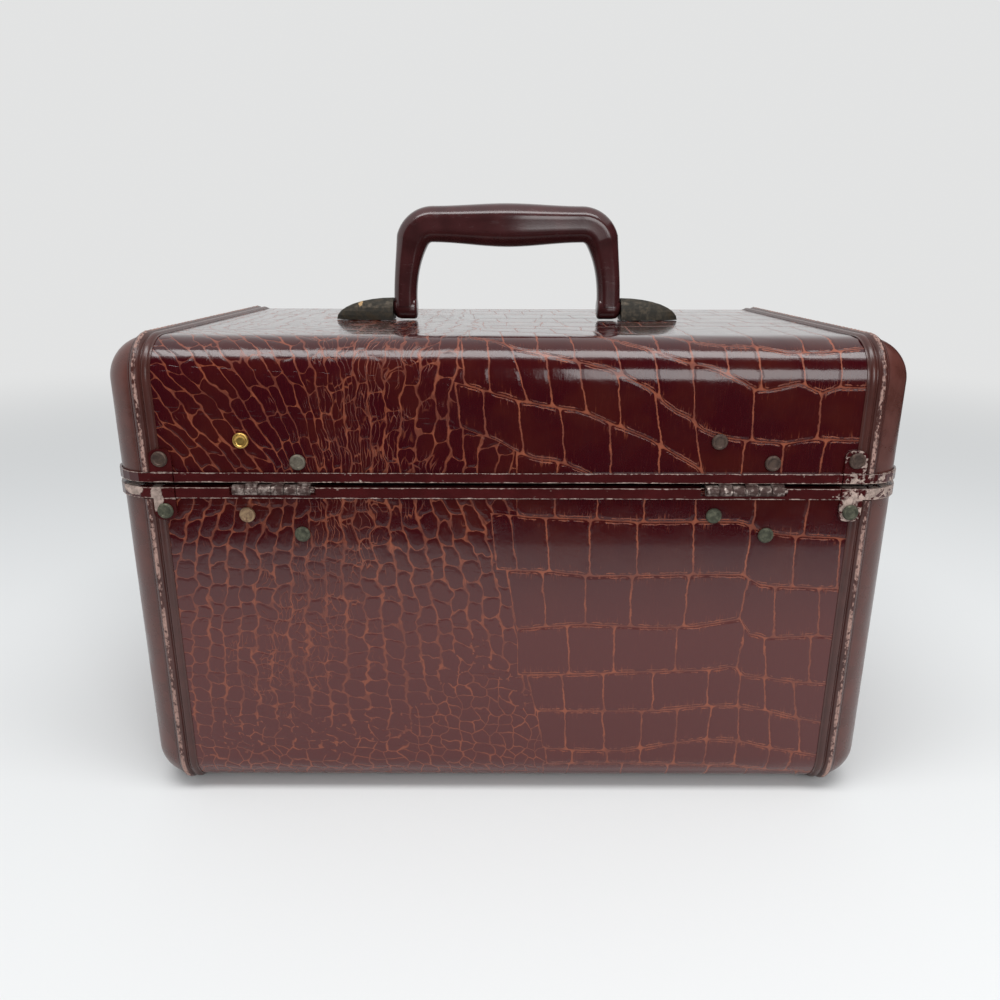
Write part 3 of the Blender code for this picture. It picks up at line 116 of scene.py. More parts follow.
class Wires:
    """Adds nodes to one node tree and joins them."""

    def __init__(self, tree: bpy.types.NodeTree) -> None:
        """Remember the node tree that gets the nodes."""
        self.tree = tree

    def add(self, kind: str, **settings: object) -> bpy.types.Node:
        """Add one node.

        Args:
            kind: The node's type name without the ShaderNode part.
            settings: Properties of the node.

        Returns:
            The new node.
        """
        node = self.tree.nodes.new("ShaderNode" + kind)
        for name, value in settings.items():
            setattr(node, name, value)
        return node

    def feed(self, value: object, socket: bpy.types.NodeSocket) -> None:
        """Join a signal to a socket, or set the socket to a number or colour.

        Args:
            value: A signal, a number or a tuple.
            socket: The input that takes it.
        """
        if isinstance(value, Signal):
            self.tree.links.new(value.socket, socket)
        elif isinstance(value, tuple) and socket.type == "RGBA":
            socket.default_value = (*value[:3], 1.0)
        else:
            socket.default_value = value

    def fit(self, node: bpy.types.Node, **values: object) -> bpy.types.Node:
        """Feed a node's inputs by name, with _ for each space, and return the node."""
        for name, value in values.items():
            self.feed(value, node.inputs[name.replace("_", " ")])
        return node

    def run(self, kind: str, values: tuple, **settings: object) -> Signal:
        """Add a node and feed its inputs in order.

        Args:
            kind: The node's type name without the ShaderNode part.
            values: What its first inputs get.
            settings: Properties of the node.

        Returns:
            Its first output.
        """
        node = self.add(kind, **settings)
        for value, socket in zip(values, node.inputs):
            self.feed(value, socket)
        return Signal(self, node.outputs[0])

    def maths(self, operation: str, *values: object) -> Signal:
        """Return the result of one Math node."""
        return self.run("Math", values, operation=operation)

    def shift(self, vector: Signal, back: Place) -> Signal:
        """Return a vector moved back by another one."""
        return self.run("VectorMath", (vector, back), operation="SUBTRACT")

    def scale(self, vector: Signal, times: object) -> Signal:
        """Return a vector made longer by a number."""
        node = self.fit(self.add("VectorMath", operation="SCALE"), Scale=times)
        self.feed(vector, node.inputs[0])
        return Signal(self, node.outputs[0])

    def stretch(self, vector: Signal, *shares: float) -> Signal:
        """Return a vector whose x, y and z are multiplied by three shares."""
        return self.run("VectorMath", (vector, shares), operation="MULTIPLY")

    def mix(self, share: object, first: object, second: object, colour: bool = False) -> Signal:
        """Return a number or a colour between two others.

        Args:
            share: How much of the second is taken.
            first: What the result is at share 0.
            second: What the result is at share 1.
            colour: Whether they are colours.

        Returns:
            The mixture.
        """
        node = self.add("Mix", data_type="RGBA" if colour else "FLOAT")
        for value, index in zip((share, first, second), (0, 6, 7) if colour else (0, 2, 3)):
            self.feed(value, node.inputs[index])
        return Signal(self, node.outputs[2 if colour else 0])

    def tint(self, share: object, first: object, second: object) -> Signal:
        """Return a colour between two others."""
        return self.mix(share, first, second, True)

    def fade(self, value: object, low: object, high: object,
             to_low: object = 0.0, to_high: object = 1.0) -> Signal:
        """Ease a number from one range to another, held at both ends."""
        return self.run("MapRange", (value, low, high, to_low, to_high), interpolation_type="SMOOTHSTEP")

    def drop(self, value: object, low: object, high: object) -> Signal:
        """Return 1 below a range of a number, 0 above it, and an eased number between."""
        return self.fade(value, low, high, 1.0, 0.0)

    def far(self, a: Signal, b: Signal) -> Signal:
        """Return the length of the two sides' diagonal."""
        return self.maths("SQRT", a * a + b * b)

    def noise(self, place: object, size: float, detail: float = 2.0, roughness: float = 0.5,
              distortion: float = 0.0, output: int = 0) -> Signal:
        """Return smooth noise about 0.5 with blobs of a size: output 0 is one number, 1 is three."""
        node = self.fit(self.add("TexNoise"), Vector=place, Scale=1.0 / size, Detail=detail,
                        Roughness=roughness, Distortion=distortion)
        return Signal(self, node.outputs[output])

    def edges(self, place: object, loose: float) -> Signal:
        """Return the distance to the nearest edge between flat irregular cells, one unit wide."""
        node = self.add("TexVoronoi", feature="DISTANCE_TO_EDGE", voronoi_dimensions="2D")
        self.fit(node, Vector=place, Scale=1.0, Randomness=loose)
        return Signal(self, node.outputs["Distance"])

    def split(self, vector: object) -> list[Signal]:
        """Return the x, y and z of a vector."""
        node = self.fit(self.add("SeparateXYZ"), Vector=vector)
        return [Signal(self, output) for output in node.outputs]

    def place(self, x: object, y: object, z: object = 0.0) -> Signal:
        """Return a vector made of three numbers."""
        return self.run("CombineXYZ", (x, y, z))

    def stored(self, name: str) -> Signal:
        """Return a value that the mesh stores by name."""
        return Signal(self, self.add("Attribute", attribute_name=name).outputs["Vector"])

    def spot(self, output: str = "Object") -> Signal:
        """Return the place on the piece in the frame of the part, or another texture coordinate."""
        return Signal(self, self.add("TexCoord").outputs[output])

    def bump(self, height: object) -> Signal:
        """Return a normal bent by a height in metres."""
        return Signal(self, self.fit(self.add("Bump"), Strength=1.0, Distance=1.0, Height=height).outputs[0])

    def effect(self, name: str, **values: object) -> dict[str, Signal]:
        """Place one of the shared effects, feed its inputs and return its outputs by name."""
        node = self.fit(self.add("Group", node_tree=SharedEffects.get(name)), **values)
        return {socket.name: Signal(self, socket) for socket in node.outputs}


class SharedEffects:
    """Builds each shader group that several finishes use, once."""

    made: dict[str, bpy.types.NodeTree] = {}

    @classmethod
    def get(cls, name: str) -> bpy.types.NodeTree:
        """Return a group by name, building it at first use."""
        if name not in cls.made:
            cls.made[name] = getattr(cls(), name)()
        return cls.made[name]

    def start(self, name: str, inputs: dict[str, object], outputs: tuple[str, ...]
              ) -> tuple[Wires, list[Signal], bpy.types.Node]:
        """Make an empty group with its sockets.

        Args:
            name: The group's name.
            inputs: Each input's name and value; None makes a vector.
            outputs: The names of the number outputs.

        Returns:
            The group's wires, its inputs and its output node.
        """
        tree = bpy.data.node_groups.new(name, "ShaderNodeTree")
        for label, value in inputs.items():
            kind = "NodeSocketVector" if value is None else "NodeSocketFloat"
            socket = tree.interface.new_socket(name=label, in_out="INPUT", socket_type=kind)
            if value is not None:
                socket.default_value = value
        for label in outputs:
            tree.interface.new_socket(name=label, in_out="OUTPUT", socket_type="NodeSocketFloat")
        w, given = Wires(tree), tree.nodes.new("NodeGroupInput")
        return w, [Signal(w, given.outputs[label]) for label in inputs], tree.nodes.new("NodeGroupOutput")

    def vinyl_grain(self) -> bpy.types.NodeTree:
        """Return the fine pores and soft unevenness of coated cloth and paint."""
        w, (place, depth), out = self.start("vinyl_grain", {"Place": None, "Depth": 0.02 * MM},
                                            ("Height", "Tone"))
        pores = w.fit(w.add("TexVoronoi"), Vector=place, Scale=1.0 / (0.55 * MM), Randomness=1.0)
        height = (Signal(w, pores.outputs["Distance"]) * 0.5 + w.noise(place, 2.4 * MM)) * depth
        w.fit(out, Height=height, Tone=w.noise(place, 14 * MM, 3.0, 0.6))
        return w.tree

    def edge_wear(self) -> bpy.types.NodeTree:
        """Return where a coating is rubbed or chipped off near an edge."""
        w, (place, gap, reach, amount), out = self.start(
            "edge_wear", {"Place": None, "Edge Distance": 0.0, "Reach": 0.5 * MM, "Amount": 0.5},
            ("Worn", "Chip"))
        fine = w.noise(place, 1.6 * MM, 3.0, 0.7)
        patch = w.fade(w.noise(place, 9 * MM, 4.0, 0.65), 0.36, 0.66)
        rubbed = w.drop(gap / (reach * (patch * 1.1 + fine * 0.9)), 0.75, 1.15)
        nick = w.fade(w.noise(place, 4.2 * MM, 4.0, 0.62, 0.6), 0.66, 0.70)
        w.fit(out, Worn=rubbed * w.fade(fine + amount, 0.72, 0.98), Chip=nick * w.drop(gap / reach, 2.2, 5.0))
        return w.tree

    def tarnish(self) -> bpy.types.NodeTree:
        """Return the blotches, pits and scratches of old bare metal."""
        w, (place, amount), out = self.start("tarnish", {"Place": None, "Amount": 0.5},
                                             ("Tone", "Pits", "Height"))
        blotch = w.noise(place, 2.6 * MM, 4.0, 0.62, 0.4)
        pits = w.fade(w.noise(place, 0.7 * MM, 3.0, 0.6), 0.60, 0.70)
        scratch = w.noise(w.stretch(place, 0.16, 1.0, 1.0), 0.22 * MM)
        w.fit(out, Tone=w.fade(blotch + (amount - 0.5), 0.34, 0.66), Pits=pits,
              Height=(scratch - pits) * (0.03 * MM))
        return w.tree

    def cloth_weave(self) -> bpy.types.NodeTree:
        """Return the threads of a plain woven cloth."""
        w, (place, pitch), out = self.start("cloth_weave", {"Place": None, "Pitch": 0.7 * MM},
                                            ("Height", "Tone"))
        x, y, z = w.split(w.scale(place, math.pi / pitch))
        across = abs(w.maths("SINE", x + z))
        along = abs(w.maths("SINE", y + z * 0.7))
        turn = w.maths("GREATER_THAN", w.maths("SINE", x + y + z), 0.0)
        thread = w.mix(turn, across, along)
        slub = w.noise(place, 5 * MM, 3.0)
        w.fit(out, Height=thread * (pitch * 0.16), Tone=thread * 0.5 + slub * 0.5)
        return w.tree

    def scale_skin(self) -> bpy.types.NodeTree:
        """Return the creases, domes and fine wrinkles of the reptile embossing."""
        w, (scales, scale_size, flank, place), out = self.start(
            "scale_skin", {"Scales": None, "Scale Size": None, "Flank": None, "Place": None},
            ("Crease", "Height", "Tone", "Fringe"))
        # Both kinds of scale share their wobble; the belly's are the large ones.
        column, row, folds = w.split(scales)
        width, rise, round_share = w.split(scale_size)
        wobble = w.noise(place, 6 * MM, 3.0, 0.6) - 0.5
        shiver = w.noise(place, 1.1 * MM, 2.0, 0.6) - 0.5
        belly = w.maths("GREATER_THAN", column, 0.0)
        vary = w.noise(place, 5 * MM, 3.0, 0.65)

        # Large scales: lines between rows and columns, some of them doubled.
        column_gap = self.line_gap(column, width, wobble * (2.2 * MM))
        row_gap = self.line_gap(row, rise, wobble * (0.8 * MM))
        corner = w.maths("SMOOTH_MIN", column_gap, row_gap, 3.0 * MM)
        belly_gap = corner + shiver * (0.35 * MM)
        flat_row = w.fade(column_gap - row_gap, 0.0, 2.0 * MM)
        core = w.drop(belly_gap, 0.12 * MM, w.fade(vary, 0.3, 0.7, 0.34 * MM, 0.66 * MM))
        twin_place = w.fade(vary, 0.3, 0.7, 0.70 * MM, 1.25 * MM)
        twin = w.drop(abs(belly_gap - twin_place), 0.10 * MM, 0.30 * MM)
        twin = twin * (flat_row * w.fade(vary, 0.38, 0.52))
        belly_crease = (core * w.mix(flat_row, 1.0, 0.75)).most(twin)

        # Small scales: leaning columns whose ends are staggered, or small cells where they are round.
        p, q, cell_size = w.split(flank)
        swirl = w.shift(w.noise(place, 12 * MM, output=1), (0.5, 0.5, 0.5))
        bend_p, bend_q, _ = w.split(w.scale(swirl, 1.35))
        p, q = p + bend_p, q + bend_q
        number = w.maths("FLOOR", p)
        chance = w.fit(w.add("TexWhiteNoise", noise_dimensions="1D"), W=number).outputs["Value"]
        step = w.maths("MODULO", number, 2.0) * 0.5 + Signal(w, chance) * 0.4
        side_gap = self.line_gap(p, cell_size)
        end_gap = self.line_gap(q + step, cell_size * 1.55)
        long_gap = w.maths("SMOOTH_MIN", side_gap, end_gap, 3.4 * MM)
        small_gap = w.edges(w.place(p * 1.22, q * 1.32), 0.62) * (5.0 * MM)
        small = w.fade(round_share + wobble * 1.2, 0.42, 0.58)
        flank_gap = w.mix(small, long_gap, small_gap).least(abs(column) * width)
        bold = w.fade(end_gap - side_gap, -1.0 * MM, 1.5 * MM)
        bold = bold * w.fade(w.noise(w.place(p, q * 0.2), 1.3, 1.0), 0.34, 0.56) * (1.0 - small)
        reach = w.mix(bold, w.mix(small, 0.27 * MM, 0.36 * MM), 0.60 * MM)
        reach = reach * w.fade(vary, 0.3, 0.7, 0.75, 1.25)
        flank_crease = w.drop(flank_gap + shiver * (0.25 * MM), 0.05 * MM, reach)
        strands = w.fade(w.noise(w.place(p * 17.0, q * 1.4), 1.0), 0.40, 0.60, 0.60, 1.0).most(small)
        flank_crease = flank_crease * (strands * w.mix(bold, 0.85, 1.0))

        # Fine folds between the small scales, and the hair-like fringe below the rows of large ones.
        fine = w.drop(w.edges(w.place(p * 3.4, q * 1.15), 1.0), 0.02, 0.075)
        fine = fine * w.fade(w.noise(place, 9 * MM) + folds, 0.62, 0.80) * (1.0 - belly)
        crease = w.mix(belly, flank_crease.most(fine * 0.6), belly_crease)
        hair = w.noise(w.stretch(place, 1.0, 0.09, 0.09), 0.5 * MM, 2.0, 0.6)
        near_row = w.drop(row_gap, 0.4 * MM, 5.0 * MM) * belly * w.fade(vary, 0.42, 0.60)
        fringe = w.fade(hair, 0.56, 0.66) * (near_row + 0.05)

        # The relief: each scale a dome, with ripples all over.
        gap = w.mix(belly, flank_gap, corner)
        dome = w.fade(gap, 0.0, 1.7 * MM) + w.fade(gap, 0.0, 8 * MM) * 0.45
        ripple = w.noise(place, 1.7 * MM, 4.0, 0.7) + hair * 0.5
        height = dome * w.mix(belly, 0.11 * MM, 0.17 * MM) + ripple * (0.048 * MM)
        height = height - fine.most(twin) * (0.06 * MM) - fringe * (0.04 * MM)
        w.fit(out, Crease=crease, Height=height, Tone=w.noise(place, 26 * MM, 3.0, 0.55), Fringe=fringe)
        return w.tree

    @staticmethod
    def line_gap(number: Signal, size: Signal, shift: object = 0.0) -> Signal:
        """Return the distance to the nearest line, where a number is whole, moved by a shift."""
        share = number.wires.maths("FRACT", number + shift / size)
        return share.least(1.0 - share) * size


@dataclass(frozen=True)
class Finish:
    """A material of the case; its colours are linear."""

    name: str
    colour: Colour
    roughness: float = 0.4

    def mottled(self, w: Wires, tone: Signal, share: float, lighter: float, low: float = 0.35,
                high: float = 0.7) -> Signal:
        """Return the finish's colour with blotches, some times lighter, where a tone is high."""
        return w.tint(w.fade(tone, low, high, 0.0, share), self.colour, shade(self.colour, lighter))

    def dress(self, w: Wires, shader: bpy.types.Node) -> None:
        """Join the finish's own nodes to the Principled shader.

        Args:
            w: The wires of the material's node tree.
            shader: The Principled shader.
        """
        raise NotImplementedError

    def material(self) -> bpy.types.Material:
        """Return the finish as a material, made once."""
        found = bpy.data.materials.get(self.name)
        if found is not None:
            return found
        material = bpy.data.materials.new(self.name)
        material.use_nodes = True
        w, shader = Wires(material.node_tree), material.node_tree.nodes["Principled BSDF"]
        w.fit(shader, Base_Color=self.colour, Roughness=self.roughness)
        self.dress(w, shader)
        return material


@dataclass(frozen=True)
class ScaleSkin(Finish):
    """Glossy embossed wrap with orange-brown creases."""

    warm: Colour = (0.047, 0.0058, 0.0050)
    # Painted light: a lighter colour towards the bottom of the base, standing in for light bounced up from
    # the floor.
    low: Colour = (0.078, 0.0125, 0.0115)
    crease: Colour = (0.245, 0.060, 0.026)
    dim: Colour = (0.150, 0.034, 0.018)

    def dress(self, w: Wires, shader: bpy.types.Node) -> None:
        """Join creases, domes, fringe and gloss."""
        place = w.spot()
        skin = w.effect("scale_skin", Scales=w.stored("scales"), Scale_Size=w.stored("scale_size"),
                        Flank=w.stored("flank"), Place=place)
        grain = w.effect("vinyl_grain", Place=place, Depth=0.008 * MM)
        ground = w.tint(w.fade(skin["Tone"], 0.38, 0.68), self.colour, self.warm)
        # Painted light: the ground turns lighter from 138 mm down, fully below 75 mm, as if lit by light
        # bounced up from the floor.
        ground = w.tint(w.drop(w.split(place)[2], 75 * MM, 138 * MM), ground, self.low)
        ground = w.tint(skin["Fringe"] * 0.55, ground, self.crease)
        line = w.tint(w.fade(w.noise(place, 8 * MM, 3.0, 0.6), 0.40, 0.62), self.dim, self.crease)
        w.fit(shader, Base_Color=w.tint(skin["Crease"], ground, line),
              Roughness=w.mix(skin["Crease"], w.fade(grain["Tone"], 0.3, 0.7, 0.09, 0.17), 0.42),
              Normal=w.bump(skin["Height"] + grain["Height"]),
              IOR=1.38, Coat_Weight=0.45, Coat_Roughness=0.06)


@dataclass(frozen=True)
class SmoothCover(Finish):
    """Smooth coated covering of the ends."""

    scuffed: Colour = (0.25, 0.14, 0.13)

    def dress(self, w: Wires, shader: bpy.types.Node) -> None:
        """Join mottling, scuffs and a fine grain."""
        place = w.spot()
        grain = w.effect("vinyl_grain", Place=place, Depth=0.02 * MM)
        colour = self.mottled(w, grain["Tone"], 0.55, 1.8)
        scuff = w.fade(w.noise(w.stretch(place, 1.0, 1.0, 0.2), 3 * MM, 5.0, 0.7), 0.66, 0.74)
        w.fit(shader, Base_Color=w.tint(scuff * 0.25, colour, self.scuffed),
              Roughness=w.fade(grain["Tone"], 0.3, 0.7, self.roughness - 0.05, self.roughness + 0.10),
              Normal=w.bump(grain["Height"]))


@dataclass(frozen=True)
class BindingStrip(Finish):
    """Folded binding: a smooth strip and a stitched ridge rubbed down to its pale cloth."""

    cloth: Colour = (0.40, 0.25, 0.21)
    ridge_low: float = 147.2 * MM
    ridge_high: float = 149.3 * MM
    ridge_soft: float = 0.5 * MM

    def dress(self, w: Wires, shader: bpy.types.Node) -> None:
        """Join the strip's grain and the ridge's ragged wear."""
        place = w.spot()
        across = abs(w.split(place)[0])
        along = w.split(w.stored("run"))[0]
        grain = w.effect("vinyl_grain", Place=place, Depth=0.02 * MM)
        ridge = (w.fade(across, self.ridge_low, self.ridge_low + self.ridge_soft)
                 * w.drop(across, self.ridge_high - self.ridge_soft, self.ridge_high))
        ragged = w.noise(w.place(across, along * 0.55), 1.1 * MM, 4.0, 0.7)
        patch = w.noise(w.place(0.0, along, across), 16 * MM, 3.0, 0.6)
        worn = w.fade(ragged + (patch - 0.5) * 0.9, 0.44, 0.58) * ridge
        colour = self.mottled(w, grain["Tone"], 0.6, 1.5)
        w.fit(shader, Base_Color=w.tint(worn * 0.9, colour, self.cloth),
              Roughness=w.mix(worn, self.roughness, 0.85),
              Normal=w.bump(grain["Height"] + ragged * ridge * (0.25 * MM)))


@dataclass(frozen=True)
class WornPaint(Finish):
    """Gloss paint on the metal rims, rubbed through along the edges and at the corner tabs.

    Each spot of wear is the x and z of its middle and its reach along both, in millimetres.
    """

    bare: Colour = (0.58, 0.44, 0.38)
    pitted: Colour = (0.09, 0.05, 0.045)
    edges: tuple[float, ...] = ()
    spots: tuple[tuple[float, float, float, float], ...] = ()
    tab_wear: tuple[float, float] = (0.0, 0.0)
    hinge_wear: float = 0.0
    hinge_x: float = -97 * MM
    hinge_reach: Point = (14 * MM, 44 * MM)
    tab_reach: Point = (128 * MM, 141 * MM)

    def dress(self, w: Wires, shader: bpy.types.Node) -> None:
        """Join paint, edge wear, chips and the bare corner patches."""
        place = w.spot()
        x, _, z = w.split(place)
        first, *others = self.edges
        gap = abs(z - first)
        for edge in others:
            gap = gap.least(abs(z - edge))
        wear = w.effect("edge_wear", Place=place, Edge_Distance=gap, Reach=0.30 * MM, Amount=0.38)
        grain = w.effect("vinyl_grain", Place=place, Depth=0.015 * MM)
        ragged = w.noise(place, 3.4 * MM, 5.0, 0.68, 0.5)
        upright = w.drop(abs(w.split(w.spot("Normal"))[2]), 0.5, 0.8)
        bare = wear["Worn"].most(wear["Chip"]) * upright
        for direction, amount in zip((-1.0, 1.0), self.tab_wear):
            close = w.fade(x * direction, *self.tab_reach)
            bare = bare.most(w.fade(ragged + close * amount, 0.78, 0.86))
        for middle_x, middle_z, reach_x, reach_z in self.spots:
            far = w.far((x - middle_x * MM) / (reach_x * MM), (z - middle_z * MM) / (reach_z * MM))
            bare = bare.most(w.drop(far + ragged * 1.1, 1.42, 1.56))
        if self.hinge_wear:
            close = w.drop(abs(x - self.hinge_x), *self.hinge_reach) * self.hinge_wear
            bare = bare.most(w.fade(ragged + close, 0.84, 0.92))
        tarnish = w.effect("tarnish", Place=place, Amount=0.5)
        metal = w.tint(tarnish["Tone"], self.bare, shade(self.bare, 0.55))
        metal = w.tint(tarnish["Pits"] * 0.7, metal, self.pitted)
        paint = self.mottled(w, grain["Tone"], 0.6, 1.7, 0.4, 0.75)
        w.fit(shader, Base_Color=w.tint(bare, paint, metal), Roughness=w.mix(bare, self.roughness, 0.48),
              Metallic=bare * 0.45, Normal=w.bump(grain["Height"] - bare * (0.06 * MM)))


@dataclass(frozen=True)
class OldMetal(Finish):
    """Bare or plated metal with tarnish in its hollows, perhaps with a rubbed spot (x, z, radius)."""

    dark: Colour = (0.08, 0.07, 0.05)
    amount: float = 0.5
    metallic: float = 0.85
    rubbed: tuple[float, float, float] | None = None
    rubbed_colour: Colour = (0.42, 0.27, 0.13)

    def dress(self, w: Wires, shader: bpy.types.Node) -> None:
        """Join blotches, pits and scratches."""
        place = w.spot()
        tarnish = w.effect("tarnish", Place=place, Amount=self.amount)
        colour = w.tint(tarnish["Tone"], self.colour, self.dark)
        colour = w.tint(tarnish["Pits"] * 0.6, colour, shade(self.dark, 0.4))
        if self.rubbed is not None:
            x, z, radius = self.rubbed
            across, _, up = w.split(w.shift(place, (x, 0.0, z)))
            far = w.far(across, up) + w.noise(place, 1.3 * MM, 3.0) * (2.2 * MM)
            colour = w.tint(w.drop(far, radius, radius + 0.5 * MM), colour, self.rubbed_colour)
        w.fit(shader, Base_Color=colour, Normal=w.bump(tarnish["Height"]),
              Roughness=w.mix(tarnish["Tone"], self.roughness, min(1.0, self.roughness + 0.3)),
              Metallic=w.mix(tarnish["Tone"], self.metallic, 0.6 * self.metallic))


@dataclass(frozen=True)
class MouldedGrip(Finish):
    """Polished moulded handle, a little rubbed."""

    def dress(self, w: Wires, shader: bpy.types.Node) -> None:
        """Join soft mottling, rub marks and gloss."""
        place = w.spot()
        grain = w.effect("vinyl_grain", Place=place, Depth=0.010 * MM)
        rub = w.fade(w.noise(w.stretch(place, 0.35, 1.0, 1.0), 2.2 * MM, 4.0, 0.65), 0.55, 0.75)
        colour = self.mottled(w, grain["Tone"], 0.7, 1.7)
        w.fit(shader, Base_Color=colour, Roughness=w.mix(rub, self.roughness, self.roughness + 0.16),
              Normal=w.bump(grain["Height"]), Coat_Weight=0.25, Coat_Roughness=0.12)


@dataclass(frozen=True)
class PlainCloth(Finish):
    """Woven cloth of the linings, the tray, the piping and the stitches."""

    pitch: float = 0.7 * MM

    def dress(self, w: Wires, shader: bpy.types.Node) -> None:
        """Join the weave and its uneven tone."""
        place = w.spot()
        weave = w.effect("cloth_weave", Place=place, Pitch=self.pitch)
        stain = w.fade(w.noise(place, 40 * MM, 3.0, 0.55), 0.5, 0.8, 0.0, 0.3)
        colour = w.tint(w.fade(weave["Tone"], 0.2, 0.8), shade(self.colour, 0.78), shade(self.colour, 1.12))
        w.fit(shader, Base_Color=w.tint(stain, colour, shade(self.colour, 0.6)),
              Normal=w.bump(weave["Height"]), Sheen_Weight=0.25, Sheen_Roughness=0.5)


@dataclass(frozen=True)
class MirrorGlass(Finish):
    """Silvered glass with a few specks."""

    speck: Colour = (0.25, 0.22, 0.20)

    def dress(self, w: Wires, shader: bpy.types.Node) -> None:
        """Join faint specks and haze."""
        place = w.spot()
        speck = w.fade(w.noise(place, 1.5 * MM, 4.0, 0.6), 0.70, 0.74)
        haze = w.fade(w.noise(place, 30 * MM, 3.0), 0.4, 0.8, 0.02, 0.07)
        w.fit(shader, Base_Color=w.tint(speck, self.colour, self.speck), Roughness=haze, Metallic=1.0)


@dataclass(frozen=True)
class LedgeWood(Finish):
    """Stained wood strip."""

    def dress(self, w: Wires, shader: bpy.types.Node) -> None:
        """Join the grain along Y."""
        grain = w.noise(w.stretch(w.spot(), 1.0, 0.06, 1.0), 0.8 * MM, 4.0, 0.6, 0.3)
        colour = w.tint(w.fade(grain, 0.35, 0.65), self.colour, shade(self.colour, 0.45))
        w.fit(shader, Base_Color=colour, Normal=w.bump(grain * (0.08 * MM)))


@dataclass(frozen=True)
class Palette:
    """All finishes of the case."""

    wrap: Finish = ScaleSkin("embossed_wrap", (0.034, 0.0026, 0.0046))
    cover: Finish = SmoothCover("smooth_cover", (0.070, 0.021, 0.016), 0.26)
    binding: Finish = BindingStrip("stitched_binding", (0.050, 0.015, 0.012), 0.26)
    base_rim: Finish = WornPaint("base_rim_paint", (0.042, 0.0050, 0.0055), 0.16,
                                 edges=(142.95 * MM, 147.6 * MM), tab_wear=(0.34, 0.08), hinge_wear=0.20,
                                 spots=((155.5, 146.0, 5.5, 2.2), (144.8, 143.0, 2.6, 6.5)))
    lid_rim: Finish = WornPaint("lid_rim_paint", (0.042, 0.0050, 0.0055), 0.16,
                                edges=(149.8 * MM, 153.9 * MM), tab_wear=(0.28, 0.0))
    grip: Finish = MouldedGrip("moulded_grip", (0.037, 0.0090, 0.0095), 0.22)
    post: Finish = OldMetal("tarnished_post", (0.050, 0.036, 0.021), 0.40, (0.017, 0.014, 0.009), 0.55, 0.5,
                            (73 * MM, 215.5 * MM, 2.0 * MM))
    brass: Finish = OldMetal("latch_brass", (0.46, 0.33, 0.14), 0.30, (0.16, 0.11, 0.05), 0.42, 0.95)
    bright_brass: Finish = OldMetal("bright_rivet", (0.66, 0.42, 0.12), 0.28, (0.42, 0.25, 0.07), 0.35, 0.9)
    grey_rivet: Finish = OldMetal("grey_rivet", (0.20, 0.175, 0.135), 0.45, (0.085, 0.070, 0.052), 0.5, 0.6)
    dark_rivet: Finish = OldMetal("dark_rivet", (0.095, 0.060, 0.045), 0.45, (0.045, 0.026, 0.020), 0.5, 0.5)
    green_rivet: Finish = OldMetal("green_rivet", (0.135, 0.135, 0.092), 0.48, (0.052, 0.054, 0.036),
                                   0.55, 0.6)
    tan_rivet: Finish = OldMetal("tan_rivet", (0.40, 0.27, 0.16), 0.42, (0.17, 0.10, 0.06), 0.45, 0.7)
    steel: Finish = OldMetal("worn_steel", (0.50, 0.42, 0.38), 0.36, (0.050, 0.024, 0.020), 0.60, 0.7)
    lining: Finish = PlainCloth("lining_cloth", (0.44, 0.28, 0.22), 0.9)
    tray_cloth: Finish = PlainCloth("tray_cloth", (0.40, 0.25, 0.20), 0.9, 0.6 * MM)
    glass: Finish = MirrorGlass("mirror_glass", (0.86, 0.88, 0.89), 0.03)
    piping: Finish = PlainCloth("rim_piping", (0.20, 0.035, 0.035), 0.8, 0.45 * MM)
    wood: Finish = LedgeWood("ledge_wood", (0.22, 0.12, 0.06), 0.55)
    thread: Finish = PlainCloth("stitch_thread", (0.30, 0.17, 0.14), 0.9, 0.25 * MM)


PALETTE = Palette()


